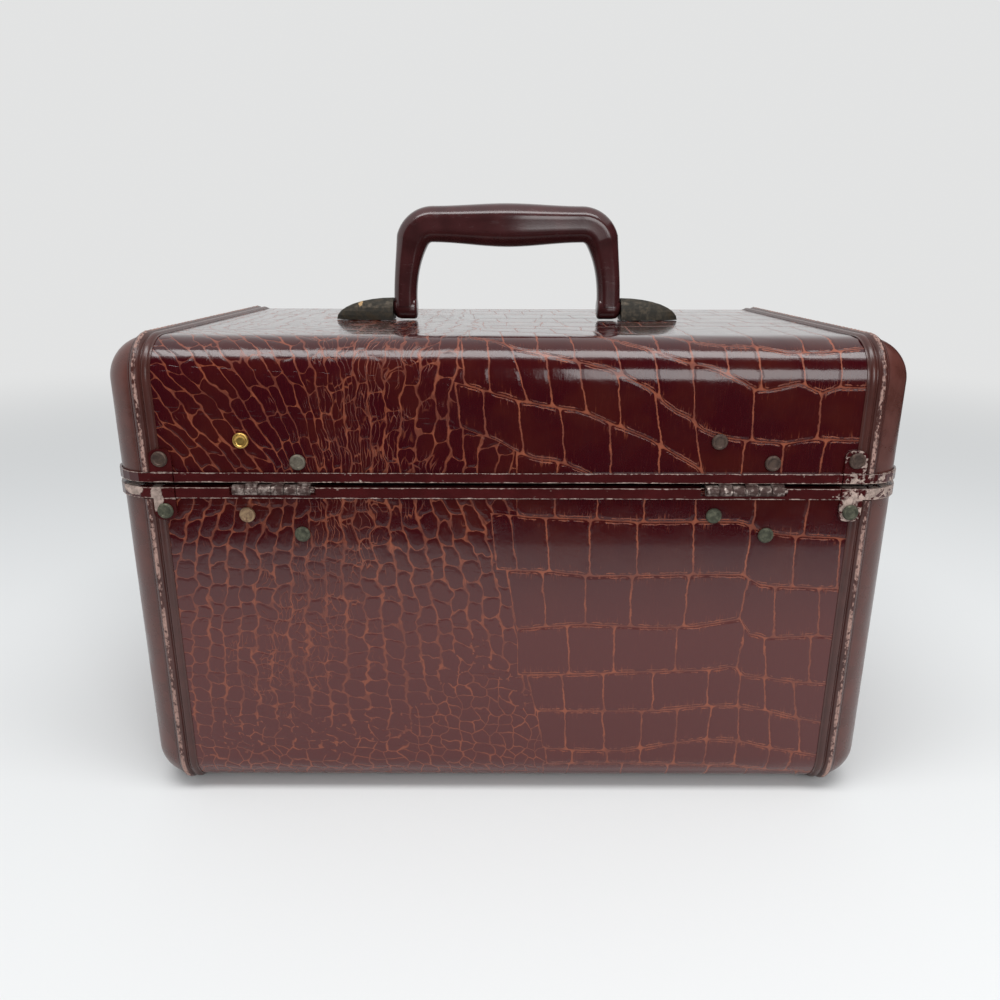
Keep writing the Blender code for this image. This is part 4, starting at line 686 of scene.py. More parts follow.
class MeshShop:
    """Makes objects from grids of points."""

    @staticmethod
    def piece(name: str, points: np.ndarray, faces: list[list[int]], finish: Finish) -> bpy.types.Object:
        """Make one object.

        Args:
            name: Its name.
            points: Its points, one row each.
            faces: The point numbers of each face.
            finish: Its finish.

        Returns:
            The linked object, shaded smooth.
        """
        mesh = bpy.data.meshes.new(name)
        mesh.from_pydata(points.reshape(-1, 3).tolist(), [], faces)
        mesh.validate()
        obj = linked(name, mesh)
        mesh.materials.append(finish.material())
        mesh.shade_smooth()
        mesh.set_sharp_from_angle(angle=math.radians(38))
        return obj

    @staticmethod
    def quads(rows: int, columns: int, start: int = 0, round_rows: bool = False,
              round_columns: bool = False, turn: bool = False) -> list[list[int]]:
        """Return the faces of a grid.

        Args:
            rows: How many rows of points it has.
            columns: How many points each row has.
            start: The number of its first point.
            round_rows: Whether the last row joins the first.
            round_columns: Whether each row's last point joins its first.
            turn: Whether the faces look the other way.

        Returns:
            The point numbers of each face.
        """
        faces = []
        for r in range(rows if round_rows else rows - 1):
            for c in range(columns if round_columns else columns - 1):
                r2, c2 = (r + 1) % rows, (c + 1) % columns
                face = [start + r * columns + c, start + r * columns + c2,
                        start + r2 * columns + c2, start + r2 * columns + c]
                faces.append(face[::-1] if turn else face)
        return faces

    @classmethod
    def shell(cls, name: str, outer: np.ndarray, inner: np.ndarray, finish: Finish,
              turn: bool = False) -> bpy.types.Object:
        """Make a closed shell from its outer and inner grids of points.

        Args:
            name: Its name.
            outer: The outer grid, rows by columns by 3.
            inner: The inner grid, of the same shape.
            finish: Its finish.
            turn: Whether the outer faces look the other way.

        Returns:
            The object; its first faces are the outer grid's.
        """
        rows, columns = outer.shape[:2]
        count = rows * columns
        faces = cls.quads(rows, columns, 0, turn=turn) + cls.quads(rows, columns, count, turn=not turn)
        grid = np.arange(count).reshape(rows, columns)
        numbers = np.concatenate([grid[0], grid[1:, -1], grid[-1, -2::-1], grid[-2:0:-1, 0]]).tolist()
        for a, b in zip(numbers, numbers[1:] + numbers[:1]):
            face = [a, a + count, b + count, b]
            faces.append(face[::-1] if turn else face)
        return cls.piece(name, np.concatenate([outer.reshape(-1, 3), inner.reshape(-1, 3)]), faces, finish)

    @classmethod
    def tube(cls, name: str, rings: np.ndarray, finish: Finish, turn: bool = False,
             closed: bool = False) -> bpy.types.Object:
        """Make a tube from rings of points, capped unless it closes on itself.

        Args:
            name: Its name.
            rings: The rings, rings by points by 3.
            finish: Its finish.
            turn: Whether the faces look the other way.
            closed: Whether the last ring joins the first.

        Returns:
            The object.
        """
        count, sides = rings.shape[:2]
        faces = cls.quads(count, sides, 0, closed, True, turn)
        if not closed:
            first, last = list(range(sides)), list(range((count - 1) * sides, count * sides))
            faces += [first if turn else first[::-1], last[::-1] if turn else last]
        return cls.piece(name, rings.reshape(-1, 3), faces, finish)

    @classmethod
    def lathe(cls, name: str, profile: list[Point], middle: Point, axis: int, sides: int,
              finish: Finish) -> bpy.types.Object:
        """Make a turned piece.

        Args:
            name: Its name.
            profile: How far along the axis each ring lies, and its radius.
            middle: Where the axis lies in the other two directions.
            axis: The number of the direction that it runs in.
            sides: How many points each ring has.
            finish: Its finish.

        Returns:
            The object, with its faces turned outwards.
        """
        angles = np.linspace(0, math.tau, sides, endpoint=False)
        across, up = (number for number in range(3) if number != axis)
        rings = np.empty((len(profile), sides, 3))
        for ring, (along, radius) in zip(rings, profile):
            ring[:, axis] = along
            ring[:, across] = middle[0] + radius * np.cos(angles)
            ring[:, up] = middle[1] + radius * np.sin(angles)
        obj = cls.tube(name, rings, finish)
        cls.face_out(obj)
        return obj

    @staticmethod
    def face_out(obj: bpy.types.Object) -> None:
        """Turn all faces outwards.

        Args:
            obj: The object.
        """
        fix = bmesh.new()
        fix.from_mesh(obj.data)
        bmesh.ops.recalc_face_normals(fix, faces=fix.faces)
        fix.to_mesh(obj.data)
        fix.free()

    @staticmethod
    def store(obj: bpy.types.Object, name: str, values: np.ndarray, domain: str = "POINT") -> None:
        """Store a vector for each POINT or face CORNER of a mesh, under a name that a material reads."""
        attribute = obj.data.attributes.new(name, "FLOAT_VECTOR", domain)
        attribute.data.foreach_set("vector", values.astype(np.float32).ravel())


@dataclass(frozen=True)
class BodyForm:
    """The case's outer form across its width, unrolled by v."""

    front: float = -94.2 * MM
    back: float = 98.5 * MM
    low: float = 1.5 * MM
    top: float = 207.7 * MM
    radius: float = 17.5 * MM
    half_width: float = 164.3 * MM
    base_wall_top: float = 146.3 * MM
    lid_wall_low: float = 151.1 * MM
    wall: float = 4.0 * MM

    @property
    def turn(self) -> float:
        """Return how long a corner's arc is."""
        return self.radius * math.pi / 2

    @property
    def flat(self) -> float:
        """Return how deep the flat bottom and top are."""
        return self.back - self.front - 2 * self.radius

    def way(self, half: Half) -> tuple[float, float]:
        """Return where a half runs from its edge, -1 down or 1 up, and the height of its corners."""
        return (-1.0, self.low + self.radius) if half is Half.BASE else (1.0, self.top - self.radius)

    def span(self, half: Half) -> tuple[float, float]:
        """Return v at the hinge side's edge and at the latch side's edge of a half's walls."""
        sign, middle = self.way(half)
        edge = self.base_wall_top if half is Half.BASE else self.lid_wall_low
        return edge, middle + sign * (2 * self.turn + self.flat + abs(edge - middle))

    def points(self, half: Half, v: np.ndarray, out: np.ndarray | float) -> tuple[np.ndarray, np.ndarray]:
        """Return y and z of places on a half's surface.

        Args:
            half: Which half.
            v: How far the place unrolls, in metres.
            out: How far it lies outside the surface.

        Returns:
            The y and z of each place.
        """
        v = np.asarray(v, float)
        out = np.broadcast_to(np.asarray(out, float), v.shape)
        sign, middle = self.way(half)
        turn, flat = self.turn, self.flat
        run = sign * (v - middle)
        first = np.clip(run, 0, turn) / self.radius
        across = np.clip(run - turn, 0, flat)
        second = np.clip(run - turn - flat, 0, turn) / self.radius
        last = np.clip(run - 2 * turn - flat, 0, None)
        before = np.clip(run, None, 0)
        angle = first + second
        reach = self.radius + out
        y = self.back - self.radius - across + reach * np.cos(angle)
        z = middle + sign * (reach * np.sin(angle) + before - last)
        return y, z

    def stations(self, half: Half, step: float, corner_steps: int = 14) -> np.ndarray:
        """Return places along v that are close together at the corners.

        Args:
            half: Which half.
            step: The greatest step on the flat sides.
            corner_steps: How many steps each corner has.

        Returns:
            The places, from the hinge side's edge to the latch side's.
        """
        start, end = self.span(half)
        sign, middle = self.way(half)
        runs = (0.0, self.turn, self.turn + self.flat, 2 * self.turn + self.flat)
        knots = [start, *(middle + sign * run for run in runs), end]
        places = []
        for number, (a, b) in enumerate(zip(knots, knots[1:])):
            steps = corner_steps if number in (1, 3) else max(2, math.ceil(abs(b - a) / step))
            places += list(np.linspace(a, b, steps, endpoint=False))
        return np.array(places + [end])


FORM = BodyForm()


@dataclass
class ScaleMap:
    """Where the large scales lie on one half: row lines and column places, in millimetres.

    x runs to the right as seen from the hinge side, which is -X of the frame. The left and right
    runs say how far the numbering goes on beyond the columns, and by how many columns. Most places
    on the hinge side were picked by eye in the photograph and turned into millimetres outside this
    script, with the photograph's fitted camera. The ends of the lines were chosen freely.
    """

    half: Half
    lines: list[list[Point]]
    columns: list[tuple[list[float], list[float]]]
    seed: int
    pitch: float = 22.0
    least: float = 0.12
    scatter: float = 2.2
    last_share: float = 0.6
    first_range: Point = (-30.0, 40.0)
    last_column: float = 155.0
    column_steps: Point = (14.0, 25.0)
    narrow_until: float = 20.0
    narrow: float = 0.7
    left_run: Point = (400.0, 40.0)
    right_run: Point = (200.0, 10.0)

    def line_places(self, x: np.ndarray) -> np.ndarray:
        """Return v of each row line, the wall's own edges among them.

        Args:
            x: The places across, in millimetres.

        Returns:
            One row for each line, in millimetres.
        """
        start, end = (value / MM for value in FORM.span(self.half))
        sign = FORM.way(self.half)[0]
        found = [np.full_like(x, start), *(np.interp(x, *zip(*points)) for points in self.lines)]
        chance = np.random.default_rng(self.seed)
        knots = np.linspace(-150, 150, 9)
        level = float(np.mean(found[-1])) + sign * self.pitch
        while sign * (end - level) > self.last_share * self.pitch:
            found.append(np.interp(x, knots, level + chance.normal(0, self.scatter, len(knots))))
            level += sign * self.pitch * chance.uniform(0.85, 1.15)
        found.append(np.full_like(x, end))
        for number in range(1, len(found)):
            found[number] = np.where(sign * (found[number] - found[number - 1]) < self.least,
                                     found[number - 1] + sign * self.least, found[number])
        limit = np.full_like(x, end)
        for number in range(len(found) - 1, 0, -1):
            found[number] = np.where(sign * (limit - found[number]) < 0, limit, found[number])
            limit = found[number] - sign * self.least
        return np.array(found)

    def row_columns(self, count: int) -> list[tuple[list[float], list[float]]]:
        """Return the column places of each row at its first and its second line.

        Args:
            count: How many rows there are.

        Returns:
            Two lists for each row.
        """
        chance = np.random.default_rng(self.seed + 7)
        rows = list(self.columns)
        while len(rows) < count:
            x = float(np.clip(rows[-1][1][0] + chance.uniform(-6, 5), *self.first_range))
            first, second = [x], [x + chance.uniform(-3, 3)]
            while x < self.last_column:
                x += chance.uniform(*self.column_steps) * (1.0 if x > self.narrow_until else self.narrow)
                first.append(x)
                second.append(x + chance.uniform(-3.0, 3.0))
            rows.append((first, second))
        return rows

    def index(self, x: np.ndarray, places: list[float]) -> tuple[np.ndarray, np.ndarray]:
        """Return each place's column number, negative before the first column, and the column's width.

        Args:
            x: The places across, in millimetres.
            places: Where the columns lie.

        Returns:
            The numbers and the widths.
        """
        known = [places[0] - self.left_run[0], *places, places[-1] + self.right_run[0]]
        numbers = [-self.left_run[1], *range(len(places)), len(places) - 1 + self.right_run[1]]
        found = np.interp(x, known, numbers)
        widths = np.diff(known) / np.diff(numbers)
        order = np.clip(np.searchsorted(known, x, side="right") - 1, 0, len(widths) - 1)
        return found, widths[order]


@dataclass
class FlankFlow:
    """How the small scales lie on one half: their size and the way that they lean.

    Places are in millimetres: x to the right as seen from the hinge side, v along the unrolled surface.
    """

    half: Half
    lid_lean: tuple[tuple[float, ...], ...] = (
        (-150, -120, -95, -80, -66, -50, -20, 30), (0.80, 0.78, 0.66, 0.40, 0.08, -0.06, -0.10, -0.12))
    base_tall: tuple[tuple[float, ...], ...] = ((0, 50, 95, 125), (11.0, 9.0, 7.6, 6.6))
    lid_top: float = 208.0
    base_top: float = 137.0
    lid_cell: float = 7.0
    base_cell: float = 6.3
    fan_middle: float = -66.0
    fan_width: float = 52.0
    fan_lean: float = 0.40
    fan_depth: float = 45.0
    fold_width: float = 26.0
    fold_most: float = 0.30

    def cells(self, x: np.ndarray, v: np.ndarray) -> np.ndarray:
        """Return cell coordinates and cell size.

        Args:
            x: The places across.
            v: The places along.

        Returns:
            Cell coordinates across and along the flow, and the cell's size in metres.
        """
        if self.half is Half.LID:
            drop = np.clip(self.lid_top - v, -40.0, None)
            p = (x - np.interp(x, *self.lid_lean) * drop) / 6.9
            q = (drop + 0.25 * x) / 12.0
            return np.stack([p, q, np.full_like(x, self.lid_cell * MM)], axis=-1)
        depth = self.base_top - v
        reach = self.fan_depth * (1 - np.exp(-np.clip(depth, -20, None) / self.fan_depth))
        fan = self.fan_lean * np.tanh((x - self.fan_middle) / self.fan_width)
        p = (x - fan * reach) / self.base_cell
        knots = np.linspace(-40.0, 480.0, 521)
        along = np.cumsum(1.0 / np.interp(knots, *self.base_tall))
        q = np.interp(depth - 0.14 * x * np.clip(depth / 90.0, 0, 1), knots, along)
        return np.stack([p, q, np.full_like(x, self.base_cell * MM)], axis=-1)

    def round_share(self, x: np.ndarray, v: np.ndarray) -> np.ndarray:
        """Return how far small round scales take over.

        Args:
            x: The places across.
            v: The places along.

        Returns:
            Shares from 0 to 1.
        """
        if self.half is Half.LID:
            return 0.0 * x * v
        low = np.clip((62.0 - v) / 60.0, 0, 1)
        beside = np.exp(-((x + 14.0) / 22.0) ** 2) * np.clip((100.0 - v) / 60.0, 0, 1)
        return np.clip(low + beside, 0, 1)

    def folds(self, x: np.ndarray, v: np.ndarray) -> np.ndarray:
        """Return how strongly fine folds show.

        Args:
            x: The places across.
            v: The places along.

        Returns:
            Shares from 0 to the most.
        """
        if self.half is Half.LID:
            return self.fold_most * np.exp(-((x + 58.0) / self.fold_width) ** 2) + 0.0 * v
        middle = self.fan_middle - 0.42 * (self.base_top - v)
        folds = self.fold_most * np.exp(-((x - middle) / self.fold_width) ** 2)
        return folds * np.clip((v - 25.0) / 40.0, 0, 1)


BASE_SCALES = ScaleMap(
    Half.BASE,
    lines=[
        [(-150, 139.0), (-44, 137.5), (-12, 136.7), (-3, 136.3), (9, 134.8), (35, 133.8), (54, 132.7),
         (97, 133.0), (106, 128.8), (116, 127.2), (141, 125.7), (150, 125.4)],
        [(-150, 113.0), (-45, 111.9), (-12, 111.4), (20, 110.3), (35, 108.5), (53, 108.6), (79, 109.2),
         (100, 109.3), (108, 104.6), (118, 103.7), (142, 102.9), (150, 102.7)],
        [(-150, 88.0), (-46, 86.3), (-13, 84.5), (4, 83.4), (16, 84.6), (32, 85.8), (65, 84.3), (82, 85.1),
         (101, 88.4), (105, 81.7), (113, 79.5), (135, 80.6), (150, 79.6)],
        [(-150, 61.0), (-47, 60.8), (10, 60.9), (49, 62.3), (89, 63.7), (100, 65.8), (105, 60.8),
         (116, 59.9), (128, 58.0), (150, 56.4)],
        [(-150, 43.0), (12, 42.9), (65, 43.1), (77, 44.4), (90, 45.7), (103, 45.8), (118, 43.2),
         (132, 39.3), (150, 36.0)],
        [(-150, 24.5), (18, 23.7), (34, 22.4), (52, 22.5), (62, 23.8), (77, 26.5), (90, 28.6),
         (104, 28.0), (121, 24.0), (150, 19.0)],
        [(-150, 12.0), (16, 14.9), (45, 15.7), (62, 15.5), (90, 14.4), (104, 14.5), (120, 11.1), (150, 8.0)],
    ],
    columns=[
        ([3.4, 19.3, 36.7, 56.3, 77.6, 102.7, 124.9], [3.5, 19.5, 37.0, 56.7, 78.2, 102.9, 123.7]),
        ([-7.1, 0.3, 15.4, 34.1, 53.8, 77.7, 102.0, 120.6, 139.7],
         [-4.5, 3.7, 17.8, 34.9, 55.0, 78.9, 100.9, 122.1, 141.1]),
        ([-0.7, 14.6, 33.1, 52.9, 77.1, 103.2, 114.1, 133.6],
         [3.9, 16.7, 33.9, 53.6, 76.6, 101.0, 116.5, 135.7]),
        ([3.9, 26.1, 46.3, 74.2, 103.6, 112.2, 132.7], [4.6, 27.8, 47.0, 74.1, 101.8, 115.1, 134.5]),
        ([8.6, 23.9, 42.6, 65.0, 89.7, 103.6, 114.4, 127.4],
         [12.8, 26.0, 43.3, 65.3, 90.3, 103.5, 116.1, 130.5]),
        ([13.4, 26.1, 42.7, 60.7, 76.6, 92.1, 103.9, 118.5, 131.9],
         [16.6, 26.8, 45.2, 61.3, 77.0, 91.0, 105.6, 120.1, 134.0]),
        ([17.4, 30.1, 45.8, 61.5, 77.1, 91.3, 105.3, 120.4, 130.3],
         [18.3, 29.7, 46.4, 61.3, 76.6, 90.6, 104.7, 119.6, 129.3]),
    ],
    seed=11)

LID_SCALES = ScaleMap(
    Half.LID,
    lines=[
        [(-150, 180.0), (-25, 174.8), (-4, 167.0), (4, 162.2), (11, 159.9), (20, 159.0), (30, 155.0),
         (38, 151.0), (150, 150.0)],
        [(-150, 197.0), (-22, 191.3), (-4, 186.2), (6, 183.2), (16, 181.6), (27, 179.9), (35, 177.5),
         (43, 173.9), (58, 167.8), (66, 162.9), (76, 157.5), (83, 151.0), (150, 150.0)],
        [(-150, 222.0), (-23, 216.2), (-4, 209.4), (2, 205.5), (9, 203.5), (19, 201.5), (28, 199.2),
         (39, 196.6), (46, 193.4), (57, 188.2), (62, 183.3), (67, 179.7), (73, 177.1), (78, 171.9),
         (86, 169.3), (92, 168.2), (112, 166.4), (124, 168.3), (150, 167.4)],
        [(-150, 246.0), (-22, 240.0), (20, 226.0), (36, 215.0), (45, 209.5), (53, 206.3), (61, 202.8),
         (72, 198.7), (82, 196.5), (93, 191.5), (98, 188.4), (103, 188.2), (116, 191.0), (125, 186.9),
         (131, 189.5), (150, 189.0)],
        [(-150, 268.0), (20, 246.0), (50, 228.0), (60, 218.0), (72, 210.6), (78, 208.7), (87, 207.1),
         (98, 207.1), (111, 203.7), (126, 203.8), (139, 205.8), (150, 206.5)],
    ],
    columns=[
        ([3.1, 20.0, 40.0, 60.0, 80.0, 100.0, 120.0], [3.2, 20.1, 40.0, 60.0, 80.0, 100.0, 120.0]),
        ([-19.5, -9.1, 6.0, 23.4, 42.3, 61.8, 80.0, 100.0, 120.0],
         [-21.4, -10.4, 3.7, 20.6, 40.9, 61.7, 80.0, 100.0, 120.0]),
        ([-17.7, -7.3, 8.0, 17.6, 31.2, 45.5, 62.5, 79.2, 95.2, 111.6, 127.4, 144.5],
         [-19.4, -8.8, 0.4, 14.7, 27.5, 43.1, 58.3, 74.7, 95.9, 111.7, 128.4, 145.9]),
        ([-16.0, -2.0, 11.7, 26.6, 45.0, 60.2, 74.6, 98.7, 124.7],
         [-17.0, -4.0, 11.0, 23.1, 41.7, 57.2, 72.6, 97.5, 124.8]),
        ([-12.0, 4.0, 20.0, 38.0, 59.9, 73.0, 87.4, 100.3, 117.8, 131.6],
         [-13.0, 3.0, 19.0, 37.0, 59.2, 72.1, 85.9, 98.7, 115.8, 132.0]),
        ([-8.0, 12.0, 32.0, 52.0, 75.0, 98.0, 118.5, 129.7],
         [-8.0, 13.0, 33.0, 54.0, 76.0, 99.0, 118.0, 131.0]),
    ],
    seed=23)


@dataclass
class EmbossedWrap:
    """One half's wrap: the embossed covering on its board, round front, bottom or top, and back."""

    scales: ScaleMap
    step: float = 2.4 * MM
    row_steps: int = 8
    edge: float = 146.35 * MM
    least: float = 4.0

    def build(self) -> bpy.types.Object:
        """Make the wrap, with its scale pattern stored on its corners.

        Returns:
            The wrap, which stands for the CAD's.
        """
        half = self.scales.half
        columns = round(2 * self.edge / self.step) + 1
        x_mm = np.linspace(-self.edge, self.edge, columns) / MM
        lines = self.scales.line_places(x_mm)
        shares = np.linspace(0, 1, self.row_steps, endpoint=False)
        rows_of = [number + share for number in range(len(lines) - 1) for share in shares]
        grid_v = [lines[int(at)] * (1 - at % 1) + lines[int(at) + 1] * (at % 1) for at in rows_of]
        rows_of.append(float(len(lines) - 1))
        v = np.array([*grid_v, lines[-1]]) * MM
        outer, inner = (self.surface(half, -x_mm * MM, v, out) for out in (0.0, -FORM.wall))
        obj = MeshShop.shell(f"{half.value}_wrap_embossed", outer, inner, PALETTE.wrap,
                             turn=half is Half.BASE)
        flank = FlankFlow(half).cells(np.broadcast_to(x_mm, v.shape), v / MM).reshape(-1, 3)
        MeshShop.store(obj, "flank", np.concatenate([flank, flank]))
        self.store_scales(obj, x_mm, v / MM, lines, rows_of)
        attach(obj, half.value)
        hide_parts(f"{half.value}_wrap")
        return obj

    @staticmethod
    def surface(half: Half, x: np.ndarray, v: np.ndarray, out: float) -> np.ndarray:
        """Return the grid of points at one height over the surface, rows by columns by 3, in metres."""
        y, z = FORM.points(half, v, out)
        return np.stack([np.broadcast_to(x, v.shape), y, z], axis=-1)

    def store_scales(self, obj: bpy.types.Object, x_mm: np.ndarray, v_mm: np.ndarray, lines: np.ndarray,
                     rows_of: list[float]) -> None:
        """Store each corner's column and row number and the size of its scale.

        Args:
            obj: The wrap.
            x_mm: The places across, in millimetres.
            v_mm: The places along, rows by columns, in millimetres.
            lines: The row lines, in millimetres.
            rows_of: The row number of each grid row.
        """
        rows, columns = v_mm.shape
        tables = self.scales.row_columns(len(lines) - 1)
        numbers = np.zeros((rows, columns, 2, 2))
        for grid_row, at in enumerate(rows_of):
            for below, row in enumerate((int(at - 1e-9), int(at))):
                row = max(min(row, len(lines) - 2), 0)
                share = at - row
                places = [a * (1 - share) + b * share for a, b in zip(*tables[row])]
                numbers[grid_row, :, below] = np.stack(self.scales.index(x_mm, places), axis=-1)
        heights = np.abs(np.diff(lines, axis=0))
        flow = FlankFlow(self.scales.half)
        folds, rounds = (make(x_mm[None, :], v_mm) for make in (flow.folds, flow.round_share))
        scales, sizes = [], []
        for polygon in obj.data.polygons:
            corners = [divmod(number % (rows * columns), columns) for number in polygon.vertices]
            low = min(r for r, _ in corners)
            row = min(int(rows_of[low] + 1e-9), len(lines) - 2)
            for r, c in corners:
                number, width = numbers[r, c, 0 if r > low else 1]
                scales.append((number, rows_of[r], folds[r, c]))
                sizes.append((max(width, self.least) * MM, max(float(heights[row, c]), self.least) * MM,
                              rounds[r, c]))
        MeshShop.store(obj, "scales", np.array(scales), "CORNER")
        MeshShop.store(obj, "scale_size", np.array(sizes), "CORNER")


@dataclass
class EndCover:
    """The smooth rounded end of one half."""

    half: Half
    side: str
    direction: float
    start: float = 146.65 * MM
    turn_steps: int = 14
    face_rows: int = 6

    def layer(self, inset: float, v: np.ndarray) -> np.ndarray:
        """Return the grid of one surface of the cover.

        Args:
            inset: How far inside the outer surface it lies.
            v: The stations along the seam.

        Returns:
            Rows by stations by 3, from the seam to the far edge of the end face.
        """
        radius = FORM.radius - inset
        places = [(self.start, inset)]
        for angle in np.linspace(0, math.pi / 2, self.turn_steps + 1):
            depth = min(inset + radius * (1 - math.cos(angle)), FORM.radius - 0.05 * MM)
            places.append((FORM.half_width - FORM.radius + radius * math.sin(angle), depth))
        rows = []
        for x, depth in places:
            y, z = FORM.points(self.half, v, -depth)
            rows.append(np.stack([np.full_like(y, x), y, z], axis=-1))
        last = rows[-1]
        share = np.linspace(0, 1, len(v))[:, None]
        edge = last[0] * (1 - share) + last[-1] * share
        parts = [step / self.face_rows for step in range(1, self.face_rows + 1)]
        rows += [last * (1 - part) + edge * part for part in parts]
        grid = np.array(rows)
        grid[..., 0] *= self.direction
        return grid

    def build(self) -> bpy.types.Object:
        """Make the cover.

        Returns:
            The cover, which stands for the CAD's.
        """
        v = FORM.stations(self.half, 12 * MM)
        turn = (self.half is Half.BASE) == (self.direction < 0)
        obj = MeshShop.shell(f"{self.half.value}_end_cover_{self.side}", self.layer(0.0, v),
                             self.layer(FORM.wall, v), PALETTE.cover, turn=turn)
        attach(obj, self.half.value)
        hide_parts(f"{self.half.value}_end_{self.side}")
        return obj


@dataclass
class Binding:
    """The binding over one seam: a smooth strip, a groove and a stitched ridge."""

    half: Half
    side: str
    direction: float
    section: tuple[Point, ...] = (
        (142.0, 0.02), (142.05, 0.30), (142.5, 0.34), (142.9, 0.30), (143.2, 0.70), (143.8, 1.05),
        (144.5, 1.12), (145.1, 1.00), (145.6, 0.55), (145.9, 0.16), (146.3, 0.14), (146.6, 0.55),
        (147.0, 1.05), (147.6, 1.38), (148.3, 1.49), (149.0, 1.44), (149.6, 1.15), (150.0, 0.60),
        (150.3, 0.25), (150.7, 0.22), (151.0, 0.02))
    stitch_pitch: float = 3.9 * MM
    stitch_length: float = 2.5 * MM
    stitch_radius: float = 0.33 * MM
    stitch_line: float = 148.25 * MM
    stitch_rise: float = 1.38 * MM
    stitch_bulge: tuple[float, ...] = (0.35, 0.9, 1.0, 0.9, 0.35)
    stitch_sink: tuple[float, ...] = (0.30, 0.0, -0.02, 0.0, 0.30)
    stitch_sides: int = 8
    stitch_spread: Point = (0.75, 1.1)
    stitch_scatter: float = 0.14
    bare_below: float = 4 * MM
    base_cut: float = 142.6 * MM
    lid_cut: float = 154.25 * MM

    def limits(self) -> tuple[float, float]:
        """Return how far the binding runs beside the rims, as v at both ends."""
        start, end = FORM.span(self.half)
        if self.half is Half.BASE:
            cut = FORM.base_wall_top - self.base_cut
            return start - cut, end + cut
        cut = self.lid_cut - FORM.lid_wall_low
        return start + cut, end - cut

    def build(self) -> list[bpy.types.Object]:
        """Make the strip with its ridge, and its stitches.

        Returns:
            The pieces; the first stands for the CAD's binding.
        """
        low, high = sorted(self.limits())
        v = FORM.stations(self.half, 3 * MM)
        inside = v[(v > low) & (v < high)]
        ends = sorted((low, high), reverse=self.half is Half.BASE)
        v = np.concatenate([[ends[0]], inside, [ends[1]]])
        rings = []
        for across, out in self.section:
            y, z = FORM.points(self.half, v, out * MM)
            rings.append(np.stack([np.full_like(y, self.direction * across * MM), y, z], axis=-1))
        grid = np.stack(rings, axis=1)
        turn = (self.half is Half.BASE) != (self.direction < 0)
        strip = MeshShop.tube(f"{self.half.value}_binding_strip_{self.side}", grid, PALETTE.binding, turn)
        run = np.repeat(v, len(self.section))
        MeshShop.store(strip, "run", np.stack([run, run * 0, run * 0], axis=-1))
        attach(strip, self.half.value)
        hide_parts(f"{self.half.value}_binding_{self.side}")
        return [strip, self.stitches(low, high)]

    def stitches(self, low: float, high: float) -> bpy.types.Object:
        """Make the row of stitches along the ridge.

        Args:
            low: The least v.
            high: The greatest v.

        Returns:
            All stitches as one object.
        """
        chance = np.random.default_rng(int(1000 * (self.direction + 2)) + (self.half is Half.LID))
        points, faces, sides, steps = [], [], self.stitch_sides, len(self.stitch_bulge)
        angles = np.linspace(0, math.tau, sides, endpoint=False)
        bulge = self.stitch_radius * np.array(self.stitch_bulge)[:, None]
        rise = self.stitch_rise - np.array(self.stitch_sink)[:, None] * MM
        place = low + self.stitch_pitch
        while place < high - self.stitch_pitch:
            length = self.stitch_length * chance.uniform(*self.stitch_spread)
            shift = chance.normal(0, self.stitch_scatter) * MM
            v = np.linspace(place - length / 2, place + length / 2, steps)
            place += self.stitch_pitch
            if FORM.points(self.half, v, self.stitch_rise)[1].min() < self.bare_below:
                continue
            start = steps * sides * len(points)
            out = rise + bulge * np.sin(angles)
            y, z = FORM.points(self.half, np.broadcast_to(v[:, None], out.shape), out)
            x = self.direction * (self.stitch_line + shift + bulge * np.cos(angles))
            points.append(np.stack([x, y, z], axis=-1))
            faces += MeshShop.quads(steps, sides, start, round_columns=True)
            faces += [list(range(start, start + sides))[::-1],
                      list(range(start + (steps - 1) * sides, start + steps * sides))]
        obj = MeshShop.piece(f"{self.half.value}_stitches_{self.side}", np.array(points), faces,
                             PALETTE.thread)
        MeshShop.face_out(obj)
        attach(obj, self.half.value)
        return obj


